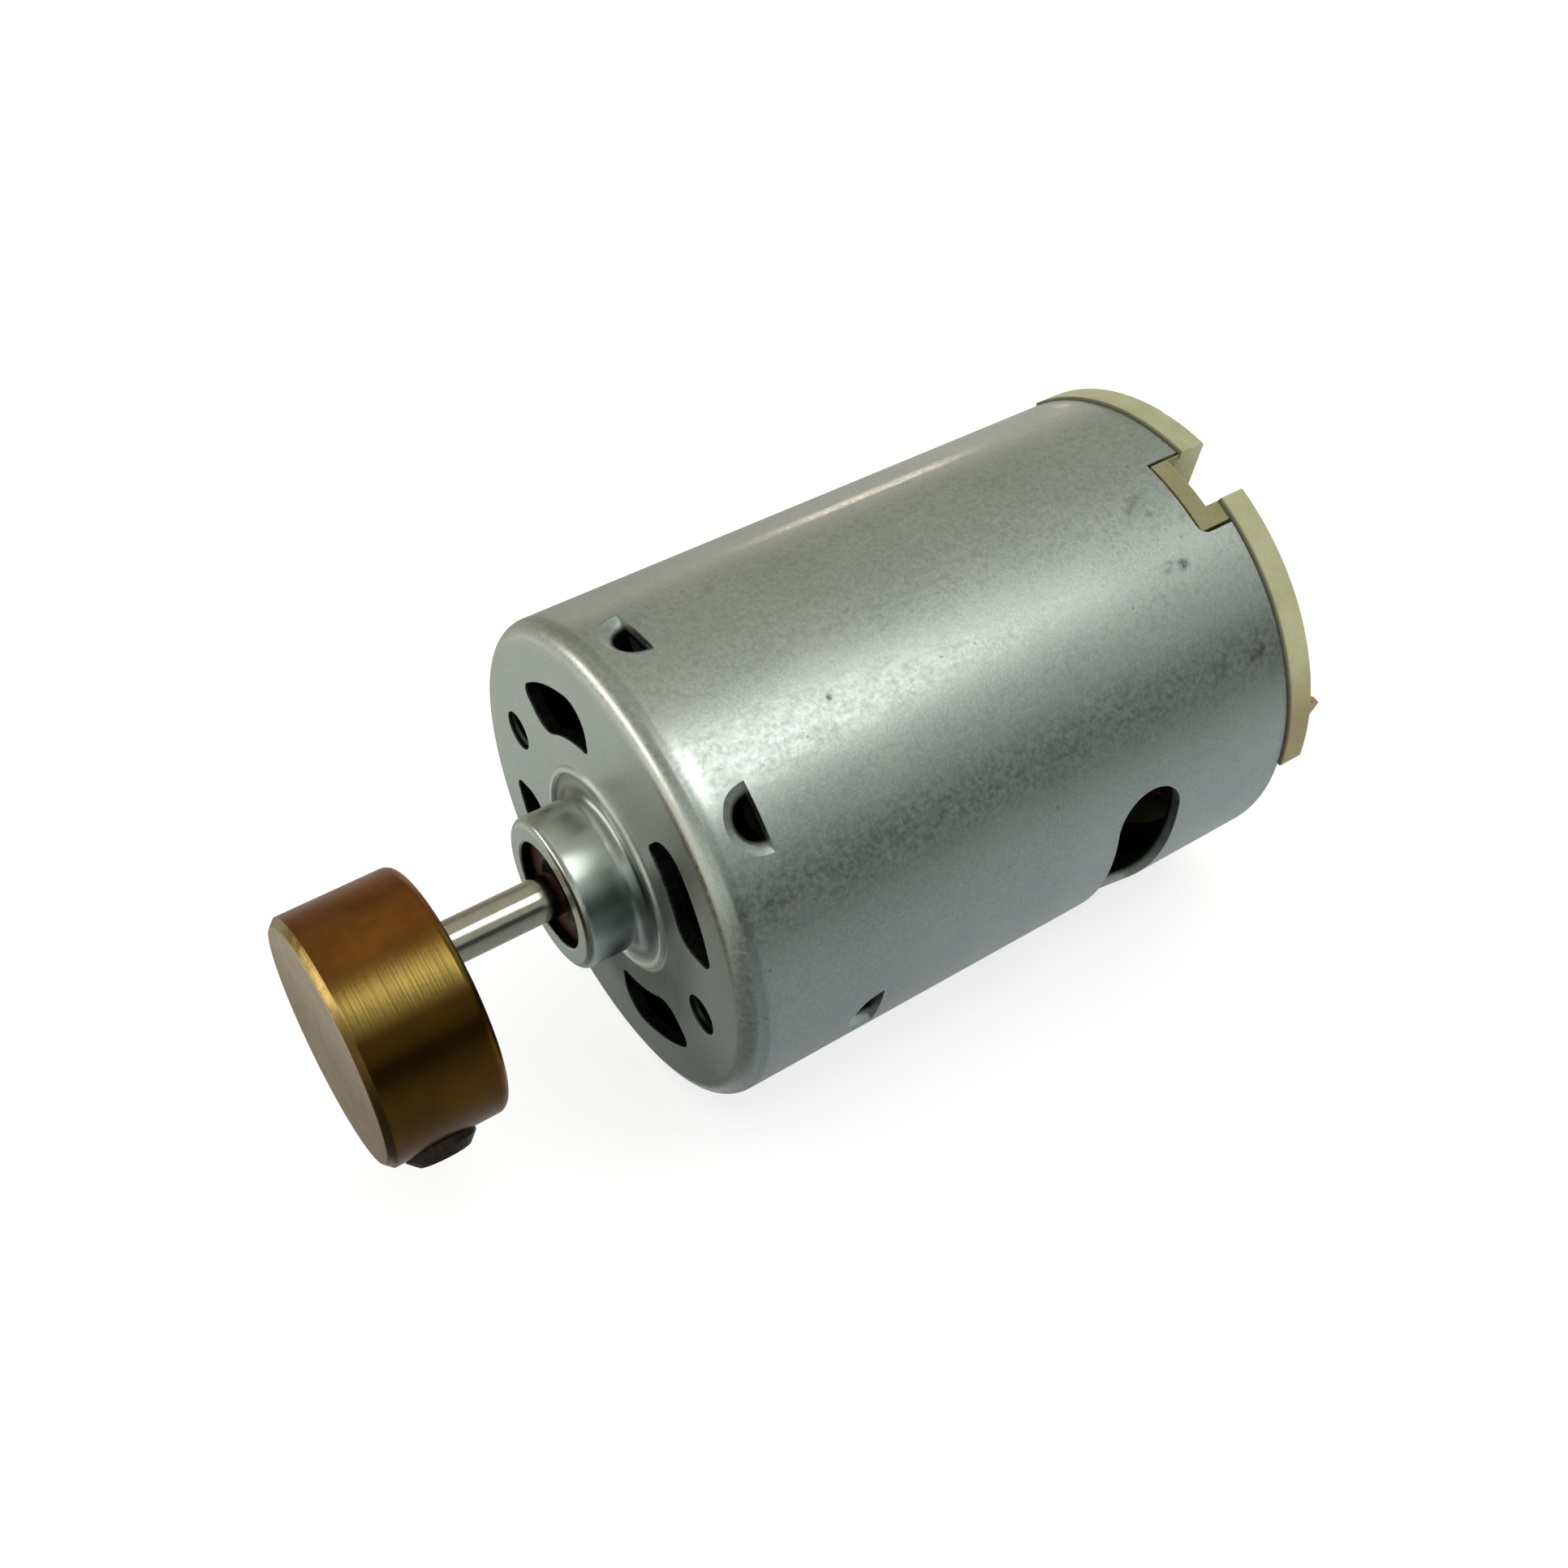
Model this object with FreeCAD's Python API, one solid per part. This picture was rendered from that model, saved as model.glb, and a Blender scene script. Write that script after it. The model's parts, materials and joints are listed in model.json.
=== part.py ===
import FreeCAD, Part
import math
import os

# Small brushed permanent-magnet motor with an eccentric weight on its shaft.
# Origin: centre of the front mounting face, on the shaft axis.
# The shaft lies along Y, its output end towards -Y (front) and the motor body towards +Y
# (rear); Z is up. Angles, in degrees, run about the shaft axis: 0 is +X, 90 is +Z.
# Lengths are in millimetres.

os.makedirs("parts", exist_ok=True)

Vector = FreeCAD.Vector
ORIGIN = Vector(0, 0, 0)
AXIS_X, AXIS_Y, AXIS_Z = Vector(1, 0, 0), Vector(0, 1, 0), Vector(0, 0, 1)

# ---- dimensions shared between pieces ----
SCREW_ANGLE = -22.0                        # line through the two front screw holes
SCREW_LINE = (SCREW_ANGLE, SCREW_ANGLE + 180)
POLE_ANGLE = SCREW_ANGLE + 90              # centre of the upper magnet
HALF_TURNS = (0, 180)

CAN_R = 17.9
CAN_LEN = 46.5
CAN_WALL = 1.0
CAN_BORE_R = CAN_R - CAN_WALL
FIT_R = CAN_BORE_R - 0.04                  # outside of what slides into the can
NOTCH_A0, NOTCH_A1 = 54.2, 75.3            # rim notches that key the end cap
NOTCH_Y = 43.6

SHAFT_R = 3.175 / 2                        # 1/8 inch shaft
RUN_GAP = 0.02                             # radial running clearance in the bearings

TERM_R = 13.7                              # mid-thickness of the terminal blades
TERM_T = 0.5
TERM_W = 3.6

COMM_R = 4.0
CORE_Y0, CORE_Y1 = 7.5, 29.5
TOOTH_ANGLES = [POLE_ANGLE + 12 + 120 * k for k in range(3)]


# ---- helpers ----
def polar(r, angle, y=0.0):
    """Point at radius r and an angle about the shaft axis."""
    t = math.radians(angle)
    return Vector(r * math.cos(t), y, r * math.sin(t))


def turn(shape, angle):
    """Copy turned about the shaft axis, so that angle 0 goes to the given angle."""
    turned = shape.copy()
    turned.rotate(ORIGIN, Vector(0, -1, 0), angle)
    return turned


def solid(shape):
    """The only solid of a shape, turned right side out."""
    if shape.ShapeType != "Solid" and len(shape.Solids) == 1:
        shape = shape.Solids[0]
    if shape.Volume < 0:
        shape.reverse()
    return shape


def tube(outer_r, y0, y1, inner_r=0.0, x=0.0, z=0.0):
    """Cylinder along Y, bored if inner_r is given."""
    body = Part.makeCylinder(outer_r, y1 - y0, Vector(x, y0, z), AXIS_Y)
    if inner_r > 0:
        body = body.cut(Part.makeCylinder(inner_r, y1 - y0 + 2, Vector(x, y0 - 1, z), AXIS_Y))
    return body


def rounded_wire(points):
    """Closed wire through (r, y, corner radius) points, corners rounded by arcs."""
    count = len(points)
    corners = []                           # (start, arc midpoint or None, end)
    for i in range(count):
        corner = Vector(points[i][0], points[i][1], 0)
        before = Vector(points[i - 1][0], points[i - 1][1], 0)
        after = Vector(points[(i + 1) % count][0], points[(i + 1) % count][1], 0)
        radius = points[i][2]
        if radius <= 0:
            corners.append((corner, None, corner))
            continue
        back = (before - corner).normalize()
        ahead = (after - corner).normalize()
        half_angle = back.getAngle(ahead) / 2
        setback = radius / math.tan(half_angle)
        bisector = (back + ahead).normalize()
        centre = corner + bisector * (radius / math.sin(half_angle))
        corners.append((corner + back * setback, centre - bisector * radius,
                        corner + ahead * setback))
    edges = []
    for i, (start, middle, end) in enumerate(corners):
        if middle is not None:
            edges.append(Part.Arc(start, middle, end).toShape())
        next_start = corners[(i + 1) % count][0]
        if (next_start - end).Length > 1e-6:
            edges.append(Part.makeLine(end, next_start))
    return Part.Wire(edges)


def spun(points):
    """Solid of revolution about the shaft axis from (r, y, corner radius) points."""
    return solid(Part.Face(rounded_wire(points)).revolve(ORIGIN, AXIS_Y, 360))


def is_line(edge):
    return isinstance(edge.Curve, Part.Line)


def sector(r0, r1, a0, a1, y0, y1, corner_r=0.0):
    """Ring sector prism; corner_r rounds its four long edges."""
    middle = (a0 + a1) / 2
    outline = [
        Part.Arc(polar(r1, a0, y0), polar(r1, middle, y0), polar(r1, a1, y0)).toShape(),
        Part.makeLine(polar(r1, a1, y0), polar(r0, a1, y0)),
        Part.Arc(polar(r0, a1, y0), polar(r0, middle, y0), polar(r0, a0, y0)).toShape(),
        Part.makeLine(polar(r0, a0, y0), polar(r1, a0, y0)),
    ]
    body = Part.Face(Part.Wire(outline)).extrude(Vector(0, y1 - y0, 0))
    if corner_r > 0:
        long_edges = [
            e for e in body.Edges if is_line(e)
            and abs(abs(e.Vertexes[0].Y - e.Vertexes[1].Y) - abs(y1 - y0)) < 1e-6]
        body = body.makeFillet(corner_r, long_edges)
    return solid(body)


def bar(r0, r1, width, angle, y0, y1):
    """Box from radius r0 to r1 along an angle, its width square to it."""
    return turn(Part.makeBox(r1 - r0, y1 - y0, width, Vector(r0, y0, -width / 2)), angle)


def fillet_where(shape, radius, test):
    edges = [e for e in shape.Edges if test(e)]
    return shape.makeFillet(radius, edges) if edges else shape


def chamfer_where(shape, size, test):
    edges = [e for e in shape.Edges if test(e)]
    return shape.makeChamfer(size, edges) if edges else shape


def circle_at(edge, radius, y, tol=1e-3):
    """True for a circle of that radius lying square to the shaft at y."""
    return (isinstance(edge.Curve, Part.Circle) and abs(edge.Curve.Radius - radius) < tol
            and abs(edge.BoundBox.YMin - y) < tol and abs(edge.BoundBox.YMax - y) < tol)


def save(name, shape):
    """Merge the split faces of a single solid and write its file."""
    if len(shape.Solids) == 1:
        shape = shape.removeSplitter()
    shape.exportStep("parts/%s.step" % name)


# ---- motor can: drawn cup, open at the rear, with a bearing boss at the front ----
BOSS_R = 5.65
BOSS_H = 4.57
BOSS_OPEN_R = 3.96
BOSS_BORE_R = 4.65
BOSS_LIP = 0.70
RING_R0, RING_R1, RING_H = 7.05, 7.75, 0.25    # low ring round the boss
RING_SLOPE = 0.2

CAN_PROFILE = [                            # (r, y, corner radius)
    (BOSS_OPEN_R, -BOSS_H, 0.18),
    (BOSS_R, -BOSS_H, 0.55),
    (BOSS_R, 0.0, 1.1),
    (RING_R0, 0.0, 0.08),
    (RING_R0 + RING_SLOPE, -RING_H, 0.08),
    (RING_R1 - RING_SLOPE, -RING_H, 0.08),
    (RING_R1, 0.0, 0.08),
    (CAN_R, 0.0, 1.5),
    (CAN_R, CAN_LEN, 0.12),
    (CAN_BORE_R, CAN_LEN, 0.0),
    (CAN_BORE_R, CAN_WALL, 0.35),
    (BOSS_BORE_R, CAN_WALL, 0.45),
    (BOSS_BORE_R, -BOSS_H + BOSS_LIP, 0.0),
    (BOSS_OPEN_R, -BOSS_H + BOSS_LIP, 0.0),
]

SCREW_PITCH_R = 25.0 / 2
SCREW_R = 3.0 / 2                          # M3
COLLAR_R = 2.35
COLLAR_Y0, COLLAR_Y1 = 0.5, 2.3

VENT_R0, VENT_R1 = 9.95, 13.8
VENT_Y0, VENT_Y1 = -1, 2.2
# vent outline: (radius, angle from the screw line, corner radius)
VENT_OUTLINE = [(VENT_R1, 26.0, 1.0), (VENT_R1, 68.0, 2.0),
                (VENT_R0, 68.0, 0.6), (VENT_R0, 26.5, 2.0)]

LANCE_MID = 66.3                           # midway between the two lances of a magnet
LANCE_OFF = 25.0                           # lances either side of that angle
LANCES = [                                 # (angle, y of the rear edge)
    (LANCE_MID + LANCE_OFF, 4.8),
    (LANCE_MID - LANCE_OFF, 4.8),
    (LANCE_MID + LANCE_OFF + 180, 4.8),
    (LANCE_MID - LANCE_OFF + 180, 4.8),
    (SCREW_ANGLE, 10.9),
    (SCREW_ANGLE + 180, 10.9),
]
# lance surfaces: (distance from the lance's centre line, height above the can's surface)
LANCE_HOLLOW = [(0, -2.45), (0.6, -2.25), (1.05, -1.6), (1.45, -0.92), (1.9, -0.42),
                (2.5, -0.13), (3.5, 0.03)]
LANCE_SKIN = [(0, -3.15), (0.9, -2.98), (1.6, -2.3), (2.15, -1.62), (2.7, -1.18),
              (3.4, -0.96), (4.0, -0.9)]
LANCE_HOLLOW_TOP, LANCE_SKIN_TOP = 1.6, -0.3
LANCE_BOX = 6.0                            # reach of the box that halves a lance

SLOT_Y0, SLOT_Y1 = 30.8, 36.4
SLOT_HALF = 27.0                           # half angle spanned by a side slot
CUT_R1 = 19.5                              # clear of the can's outside
NOTCH_CORNER_R = 0.9


def vent(base, side):
    """Cutter for a curved vent, on one side (1 or -1) of a screw hole."""
    count = len(VENT_OUTLINE)
    outline = []
    for i in range(count):
        r0, a0, _ = VENT_OUTLINE[i]
        r1, a1, _ = VENT_OUTLINE[(i + 1) % count]
        start = polar(r0, base + side * a0, VENT_Y0)
        end = polar(r1, base + side * a1, VENT_Y0)
        if abs(r0 - r1) < 1e-9:
            middle = polar(r0, base + side * (a0 + a1) / 2, VENT_Y0)
            outline.append(Part.Arc(start, middle, end).toShape())
        else:
            outline.append(Part.makeLine(start, end))
    depth = VENT_Y1 - VENT_Y0
    body = Part.Face(Part.Wire(outline)).extrude(Vector(0, depth, 0))
    for r, angle, corner_r in VENT_OUTLINE:
        corner = polar(r, base + side * angle)
        body = fillet_where(
            body, corner_r, lambda e: e.BoundBox.YLength > depth - 1e-6
            and math.hypot(e.CenterOfMass.x - corner.x, e.CenterOfMass.z - corner.z) < 1e-3)
    return solid(body)


def half_bell(profile, top, angle, y):
    """Front half of a bell pointing at the shaft, closed at height top, set on the can."""
    curve = Part.BSplineCurve()
    curve.interpolate(Points=[Vector(r, 0, CAN_R + height) for r, height in profile],
                      InitialTangent=AXIS_X, FinalTangent=Vector(1, 0, 0.02))
    tip_z = CAN_R + profile[0][1]
    rim_r, rim_z = profile[-1][0], CAN_R + profile[-1][1]
    top_z = CAN_R + top
    outline = Part.Wire([
        curve.toShape(),
        Part.makeLine(Vector(rim_r, 0, rim_z), Vector(rim_r, 0, top_z)),
        Part.makeLine(Vector(rim_r, 0, top_z), Vector(0, 0, top_z)),
        Part.makeLine(Vector(0, 0, top_z), Vector(0, 0, tip_z)),
    ])
    bell = solid(Part.Face(outline).revolve(ORIGIN, AXIS_Z, 360))
    bell = bell.common(Part.makeBox(2 * LANCE_BOX, LANCE_BOX, 2 * LANCE_BOX,
                                    Vector(-LANCE_BOX, -LANCE_BOX, CAN_R - LANCE_BOX)))
    bell.translate(Vector(0, y, 0))
    return turn(bell, angle - 90)          # the bell is built at angle 90


def side_slot(angle):
    """Cutter for an obround slot through the can's side."""
    end_r = (SLOT_Y1 - SLOT_Y0) / 2
    half = SLOT_HALF - math.degrees(math.asin(end_r / CAN_R))
    cutter = sector(15.0, CUT_R1, angle - half, angle + half, SLOT_Y0, SLOT_Y1)
    for end in (angle - half, angle + half):
        cutter = cutter.fuse(Part.makeCylinder(
            end_r, 5.5, polar(14.4, end, SLOT_Y0 + end_r), polar(1, end)))
    return cutter


def rim_notch(half_turn):
    """Cutter for a notch in the open rim, one of its two front corners rounded."""
    start = NOTCH_A0 + half_turn
    cutter = sector(15.5, CUT_R1, start, NOTCH_A1 + half_turn, NOTCH_Y, CAN_LEN + 1)

    def at_start_corner(edge):
        box, centre = edge.BoundBox, edge.CenterOfMass
        if not (is_line(edge) and abs(box.YMax - NOTCH_Y) < 1e-6
                and abs(box.YMin - NOTCH_Y) < 1e-6):
            return False
        angle = math.degrees(math.atan2(centre.z, centre.x))
        return abs((angle - start + 540) % 360 - 180) < 1

    return cutter.makeFillet(NOTCH_CORNER_R, [e for e in cutter.Edges if at_start_corner(e)])


def motor_can():
    can = spun(CAN_PROFILE)
    # collars behind the screw holes, then the holes
    centres = [polar(SCREW_PITCH_R, angle) for angle in SCREW_LINE]
    for hole in centres:
        can = can.fuse(tube(COLLAR_R, COLLAR_Y0, COLLAR_Y1, x=hole.x, z=hole.z))
    for hole in centres:
        can = can.cut(tube(SCREW_R, -1, COLLAR_Y1 + 1, x=hole.x, z=hole.z))
    for base in SCREW_LINE:
        for side in (1, -1):
            can = can.cut(vent(base, side))
    # half-moon tongues pressed inwards, cut square at their rear edges
    inside = tube(CAN_R - 0.02, 1.6, CAN_LEN)
    for angle, y in LANCES:
        can = can.fuse(half_bell(LANCE_SKIN, LANCE_SKIN_TOP, angle, y).common(inside))
        can = can.cut(half_bell(LANCE_HOLLOW, LANCE_HOLLOW_TOP, angle, y))
    for angle in SCREW_LINE:
        can = can.cut(side_slot(angle))
    for half_turn in HALF_TURNS:
        can = can.cut(rim_notch(half_turn))
    return solid(can)


save("motor_can", motor_can())

# ---- bearings: ball-shaped bushes, each with a star washer ----
FRONT_BUSH_Y, FRONT_BUSH_LEN = -1.48, 4.6
MOUTH_R, MOUTH_DEPTH = 2.35, 0.75          # conical mouth of the front bush


def ball_bush(radius, centre_y, length):
    bush = Part.makeSphere(radius, Vector(0, centre_y, 0))
    bush = bush.common(tube(6, centre_y - length / 2, centre_y + length / 2))
    return bush.cut(tube(SHAFT_R + RUN_GAP, centre_y - 10, centre_y + 10))


def star_washer(ring, count, first, r0, r1, width, y0, y1):
    """Ring with straight fingers reaching in to radius r0."""
    for k in range(count):
        ring = ring.fuse(bar(r0, r1, width, first + 360 / count * k, y0, y1))
    return solid(ring)


def front_bearing():
    bush = ball_bush(4.62, FRONT_BUSH_Y, FRONT_BUSH_LEN)
    mouth = Part.makeCone(MOUTH_R, SHAFT_R, MOUTH_DEPTH,
                          Vector(0, FRONT_BUSH_Y - FRONT_BUSH_LEN / 2, 0), AXIS_Y)
    return solid(bush.cut(mouth))


save("front_bearing", front_bearing())
save("front_bearing_retainer", star_washer(
    tube(outer_r=6.9, y0=1.03, y1=1.43, inner_r=4.2),
    count=6, first=30, r0=2.75, r1=4.5, width=1.5, y0=0.86, y1=1.26))
save("rear_bearing", solid(ball_bush(radius=3.9, centre_y=47.9, length=4.4)))
save("rear_bearing_retainer", star_washer(
    tube(outer_r=3.93, y0=45.2, y1=45.55, inner_r=2.95),
    count=5, first=0, r0=2.5, r1=3.2, width=0.9, y0=45.2, y1=45.55))

# ---- magnets and the spring clips in the gaps between them ----
MAG_R0 = 12.0
MAG_Y0, MAG_Y1 = 5.3, 30.3
MAG_HALF = 57.0                            # half angle of a magnet
MAG_CORNER_R = 0.5

CLIP_R = 14.4                              # centre line of the wire
CLIP_WIRE_R = 0.5
CLIP_GAP = 0.05                            # wire to magnet
CLIP_Y0, CLIP_Y1 = 12.0, 29.4


def magnet(angle):
    return sector(MAG_R0, FIT_R, angle - MAG_HALF, angle + MAG_HALF, MAG_Y0, MAG_Y1,
                  MAG_CORNER_R)


def magnet_clip(angle):
    """Round-wire U: two legs along the shaft, joined by a bow at the rear."""
    half = 90 - MAG_HALF - math.degrees((CLIP_WIRE_R + CLIP_GAP) / CLIP_R)
    legs = []
    for leg_angle in (angle - half, angle + half):
        foot = polar(CLIP_R, leg_angle)
        leg = tube(CLIP_WIRE_R, CLIP_Y0, CLIP_Y1, x=foot.x, z=foot.z)
        legs.append(leg.fuse(Part.makeSphere(CLIP_WIRE_R, Vector(foot.x, CLIP_Y1, foot.z))))
    bow = Part.makeTorus(CLIP_R, CLIP_WIRE_R, Vector(0, CLIP_Y1, 0), AXIS_Y)
    bow = bow.common(sector(CLIP_R - 1, CLIP_R + 1, angle - half, angle + half,
                            CLIP_Y1 - 1, CLIP_Y1 + 1))
    return solid(legs[0].fuse(legs[1]).fuse(bow))


save("magnet_upper", magnet(POLE_ANGLE))
save("magnet_lower", magnet(POLE_ANGLE + 180))
save("magnet_clip_right", magnet_clip(SCREW_ANGLE))
save("magnet_clip_left", magnet_clip(SCREW_ANGLE + 180))

# ---- end cap: moulded, keyed into the rim notches ----
CAP_R = 18.1
CAP_Y0, CAP_Y1 = CAN_LEN, 48.8             # flange
SKIRT_R0 = 15.2
SKIRT_Y = 41.2
REAR_BOSS_R = 5.4
REAR_BOSS_Y0, REAR_BOSS_Y1 = 44.2, 51.6
REAR_OPEN_R, REAR_BORE_R = 2.6, 3.95
REAR_LIP_Y = 50.35

CAP_PROFILE = [                            # (r, y, corner radius)
    (REAR_OPEN_R, REAR_BOSS_Y1, 0.3),
    (REAR_OPEN_R, REAR_LIP_Y, 0.0),
    (REAR_BORE_R, REAR_LIP_Y, 0.0),
    (REAR_BORE_R, REAR_BOSS_Y0, 0.0),
    (REAR_BOSS_R, REAR_BOSS_Y0, 0.3),
    (REAR_BOSS_R, CAP_Y0, 0.4),
    (SKIRT_R0, CAP_Y0, 0.4),
    (SKIRT_R0, SKIRT_Y, 0.25),
    (FIT_R, SKIRT_Y, 0.35),
    (FIT_R, CAP_Y0, 0.0),
    (CAP_R, CAP_Y0, 0.1),
    (CAP_R, CAP_Y1, 0.35),
    (REAR_BOSS_R, CAP_Y1, 0.5),
    (REAR_BOSS_R, REAR_BOSS_Y1, 0.4),
]

KEY_R0, KEY_R1 = 16.0, CAN_R - 0.05
KEY_A0, KEY_A1 = NOTCH_A0 + 0.9, NOTCH_A1 - 0.7
KEY_Y0, KEY_Y1 = NOTCH_Y + 0.25, CAP_Y0 + 0.4
POST_R0, POST_R1 = 11.6, SKIRT_R0 + 0.4
POST_W = 6.4
POST_Y0, POST_Y1 = 41.6, CAP_Y0 + 0.2
KEY_SLOT_A0, KEY_SLOT_A1 = 60.0, 74.4
KEY_SLOT_R0, KEY_SLOT_Y0 = 13.3, 45.3
SIDE_CUT_BEFORE, SIDE_CUT_AFTER = 31.0, 12.5    # degrees either side of the terminal
SIDE_CUT_R0 = 15.4
WINDOW_R0, WINDOW_R1, WINDOW_HALF = 7.4, 12.4, 19
CLEAR_R, CLEAR_Y = 20, 50                  # cutters end outside the flange
TERM_GAP = 0.02
ARM_ROOM = 0.45                            # extra slot depth for the brush arm


def end_cap():
    cap = spun(CAP_PROFILE)
    for half_turn in HALF_TURNS:
        cap = cap.fuse(sector(KEY_R0, KEY_R1, KEY_A0 + half_turn, KEY_A1 + half_turn,
                              KEY_Y0, KEY_Y1))
    # posts that hold the terminals
    for angle in SCREW_LINE:
        cap = cap.fuse(bar(POST_R0, POST_R1, POST_W, angle, POST_Y0, POST_Y1))
    # slots through the flange into the keys
    for half_turn in HALF_TURNS:
        cap = cap.cut(sector(KEY_SLOT_R0, CLEAR_R, KEY_SLOT_A0 + half_turn,
                             KEY_SLOT_A1 + half_turn, KEY_SLOT_Y0, CLEAR_Y, 0.6))
    # wide notches in the flange's edge, outside the terminals
    for angle in SCREW_LINE:
        cap = cap.cut(sector(SIDE_CUT_R0, CLEAR_R, angle - SIDE_CUT_BEFORE,
                             angle + SIDE_CUT_AFTER, CAP_Y0, CLEAR_Y, 0.5))
    # four curved cooling windows
    for k in range(4):
        centre = SCREW_ANGLE + 45 + 90 * k
        cap = cap.cut(sector(WINDOW_R0, WINDOW_R1, centre - WINDOW_HALF,
                             centre + WINDOW_HALF, 45, CLEAR_Y, 1.0))
    # terminal slots, deeper in front of the flange where the brush arm's foot stands
    slot_r0 = TERM_R - TERM_T / 2
    slot_r1 = TERM_R + TERM_T / 2 + TERM_GAP
    slot_w = TERM_W + 2 * TERM_GAP
    for angle in SCREW_LINE:
        cap = cap.cut(bar(slot_r0 - ARM_ROOM, slot_r1, slot_w, angle, 40, CAP_Y0 + 0.1))
        cap = cap.cut(bar(slot_r0 - TERM_GAP, slot_r1, slot_w, angle, 46, CLEAR_Y))
    return solid(cap)


save("end_cap", end_cap())

# ---- terminals, brush arms and carbon brushes, built at angle 0 and then turned ----
TERM_Y0, TERM_Y1 = 42.0, 55.4
TERM_CHAMFER = 0.7
TERM_HOLE_R, TERM_HOLE_Y = 0.65, 51.9

ARM_T = 0.35
ARM_Y0 = 36.2
LEAF_Y1, FOOT_Y1 = 40.2, 46.3
FOOT_W = 3.4
FOOT_X = TERM_R - TERM_T / 2 - 0.01 - ARM_T     # inner face, against the terminal
LEAF_Z = 6.62
# (x, z) along the face of the leaf nearer the shaft
LEAF_PATH = [(-1.7, LEAF_Z), (9.6, LEAF_Z), (FOOT_X, 3.1), (FOOT_X, FOOT_W / 2)]

BRUSH_Y0, BRUSH_Y1 = 36.6, 39.8
BRUSH_Z0, BRUSH_Z1 = 3.4, 6.6
BRUSH_W = 2.6
BRUSH_GAP = 0.03
BRUSH_CHAMFER = 0.25


def bent_leaf(path, thickness, y0, y1):
    """Leaf bent along (x, z) points; its thickness lies to the left of the path."""
    near = [Vector(x, y0, z) for x, z in path]
    normals = []
    for start, end in zip(near, near[1:]):
        along = (end - start).normalize()
        normals.append(Vector(-along.z, 0, along.x))
    far = [near[0] + normals[0] * thickness]
    for i in range(1, len(near) - 1):
        mitre = (normals[i - 1] + normals[i]).normalize()
        far.append(near[i] + mitre * (thickness / mitre.dot(normals[i])))
    far.append(near[-1] + normals[-1] * thickness)
    outline = Part.makePolygon(near + far[::-1] + [near[0]])
    return solid(Part.Face(outline).extrude(Vector(0, y1 - y0, 0)))


def terminal():
    blade = Part.makeBox(TERM_T, TERM_Y1 - TERM_Y0, TERM_W,
                         Vector(TERM_R - TERM_T / 2, TERM_Y0, -TERM_W / 2))
    blade = chamfer_where(
        blade, TERM_CHAMFER, lambda e: abs(e.BoundBox.YMin - TERM_Y1) < 1e-6
        and e.BoundBox.XLength > 0.4 and e.BoundBox.ZLength < 1e-6)
    return blade.cut(Part.makeCylinder(TERM_HOLE_R, 2, Vector(TERM_R - 1, TERM_HOLE_Y, 0),
                                       AXIS_X))


def brush_arm():
    leaf = bent_leaf(LEAF_PATH, ARM_T, ARM_Y0, LEAF_Y1)
    return leaf.fuse(Part.makeBox(ARM_T, FOOT_Y1 - ARM_Y0, FOOT_W,
                                  Vector(FOOT_X, ARM_Y0, -FOOT_W / 2)))


def carbon_brush():
    brush = Part.makeBox(BRUSH_W, BRUSH_Y1 - BRUSH_Y0, BRUSH_Z1 - BRUSH_Z0,
                         Vector(-BRUSH_W / 2, BRUSH_Y0, BRUSH_Z0))
    brush = brush.cut(tube(COMM_R + BRUSH_GAP, 30, 45))
    return chamfer_where(brush, BRUSH_CHAMFER,
                         lambda e: abs(e.BoundBox.ZMin - BRUSH_Z1) < 1e-6)


for number, angle in enumerate(SCREW_LINE, 1):
    save("terminal_%d" % number, solid(turn(terminal(), angle)))
    save("brush_arm_%d" % number, solid(turn(brush_arm(), angle)))
    save("carbon_brush_%d" % number, solid(turn(carbon_brush(), angle)))

# ---- rotor ----
SHAFT_Y0, SHAFT_Y1 = -20.9, 50.0
CORE_R = 11.45
CORE_HUB_R = 4.6
TOOTH_W = 5.0
SHOE_R = 9.3                               # inside of the tooth shoes
SHOE_HALF = 52.0                           # half angle of a shoe
INSULATOR_T = 0.9

COIL_X0, COIL_DEPTH, COIL_W = 4.75, 6.0, 10.6
COIL_Y0, COIL_Y1 = 3.7, 33.2
COIL_CORNER_R = 2.2
COIL_GAP = 0.05                            # to the tooth, shoes and hub
COIL_END = INSULATOR_T + 0.1               # core end to coil

COMM_HUB_R = 3.3
COMM_Y0, COMM_Y1 = 34.2, 41.0
HUB_Y0, HUB_Y1 = 33.5, 41.4
HUB_FLANGE_R, HUB_FLANGE_Y1 = 4.5, 34.15
COMM_BAR_HALF = 57.5                       # half angle of a commutator bar
HOOK_R, HOOK_W, HOOK_T = 5.3, 1.7, 0.55

FRONT_SPACER_PROFILE = [                   # (r, y, corner radius)
    (SHAFT_R, 1.35, 0), (2.9, 1.35, 0.2), (2.9, 2.2, 0), (3.9, 2.5, 0.15),
    (3.9, 3.1, 0.15), (2.9, 3.1, 0), (2.9, 6.55, 0), (SHAFT_R, 6.55, 0),
]


def shaft():
    return chamfer_where(
        tube(SHAFT_R, SHAFT_Y0, SHAFT_Y1), 0.3,
        lambda e: circle_at(e, SHAFT_R, SHAFT_Y0) or circle_at(e, SHAFT_R, SHAFT_Y1))


def star(shoe_r0, shoe_r1, shoe_half, y0, y1):
    """Bored hub with three teeth, each carrying a curved shoe."""
    body = tube(CORE_HUB_R, y0, y1)
    for angle in TOOTH_ANGLES:
        body = body.fuse(bar(0, shoe_r0 + 0.8, TOOTH_W, angle, y0, y1))
        body = body.fuse(sector(shoe_r0, shoe_r1, angle - shoe_half, angle + shoe_half, y0, y1))
    body = body.cut(tube(SHAFT_R, y0 - 1, y1 + 1))
    return solid(body.removeSplitter())


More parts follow.
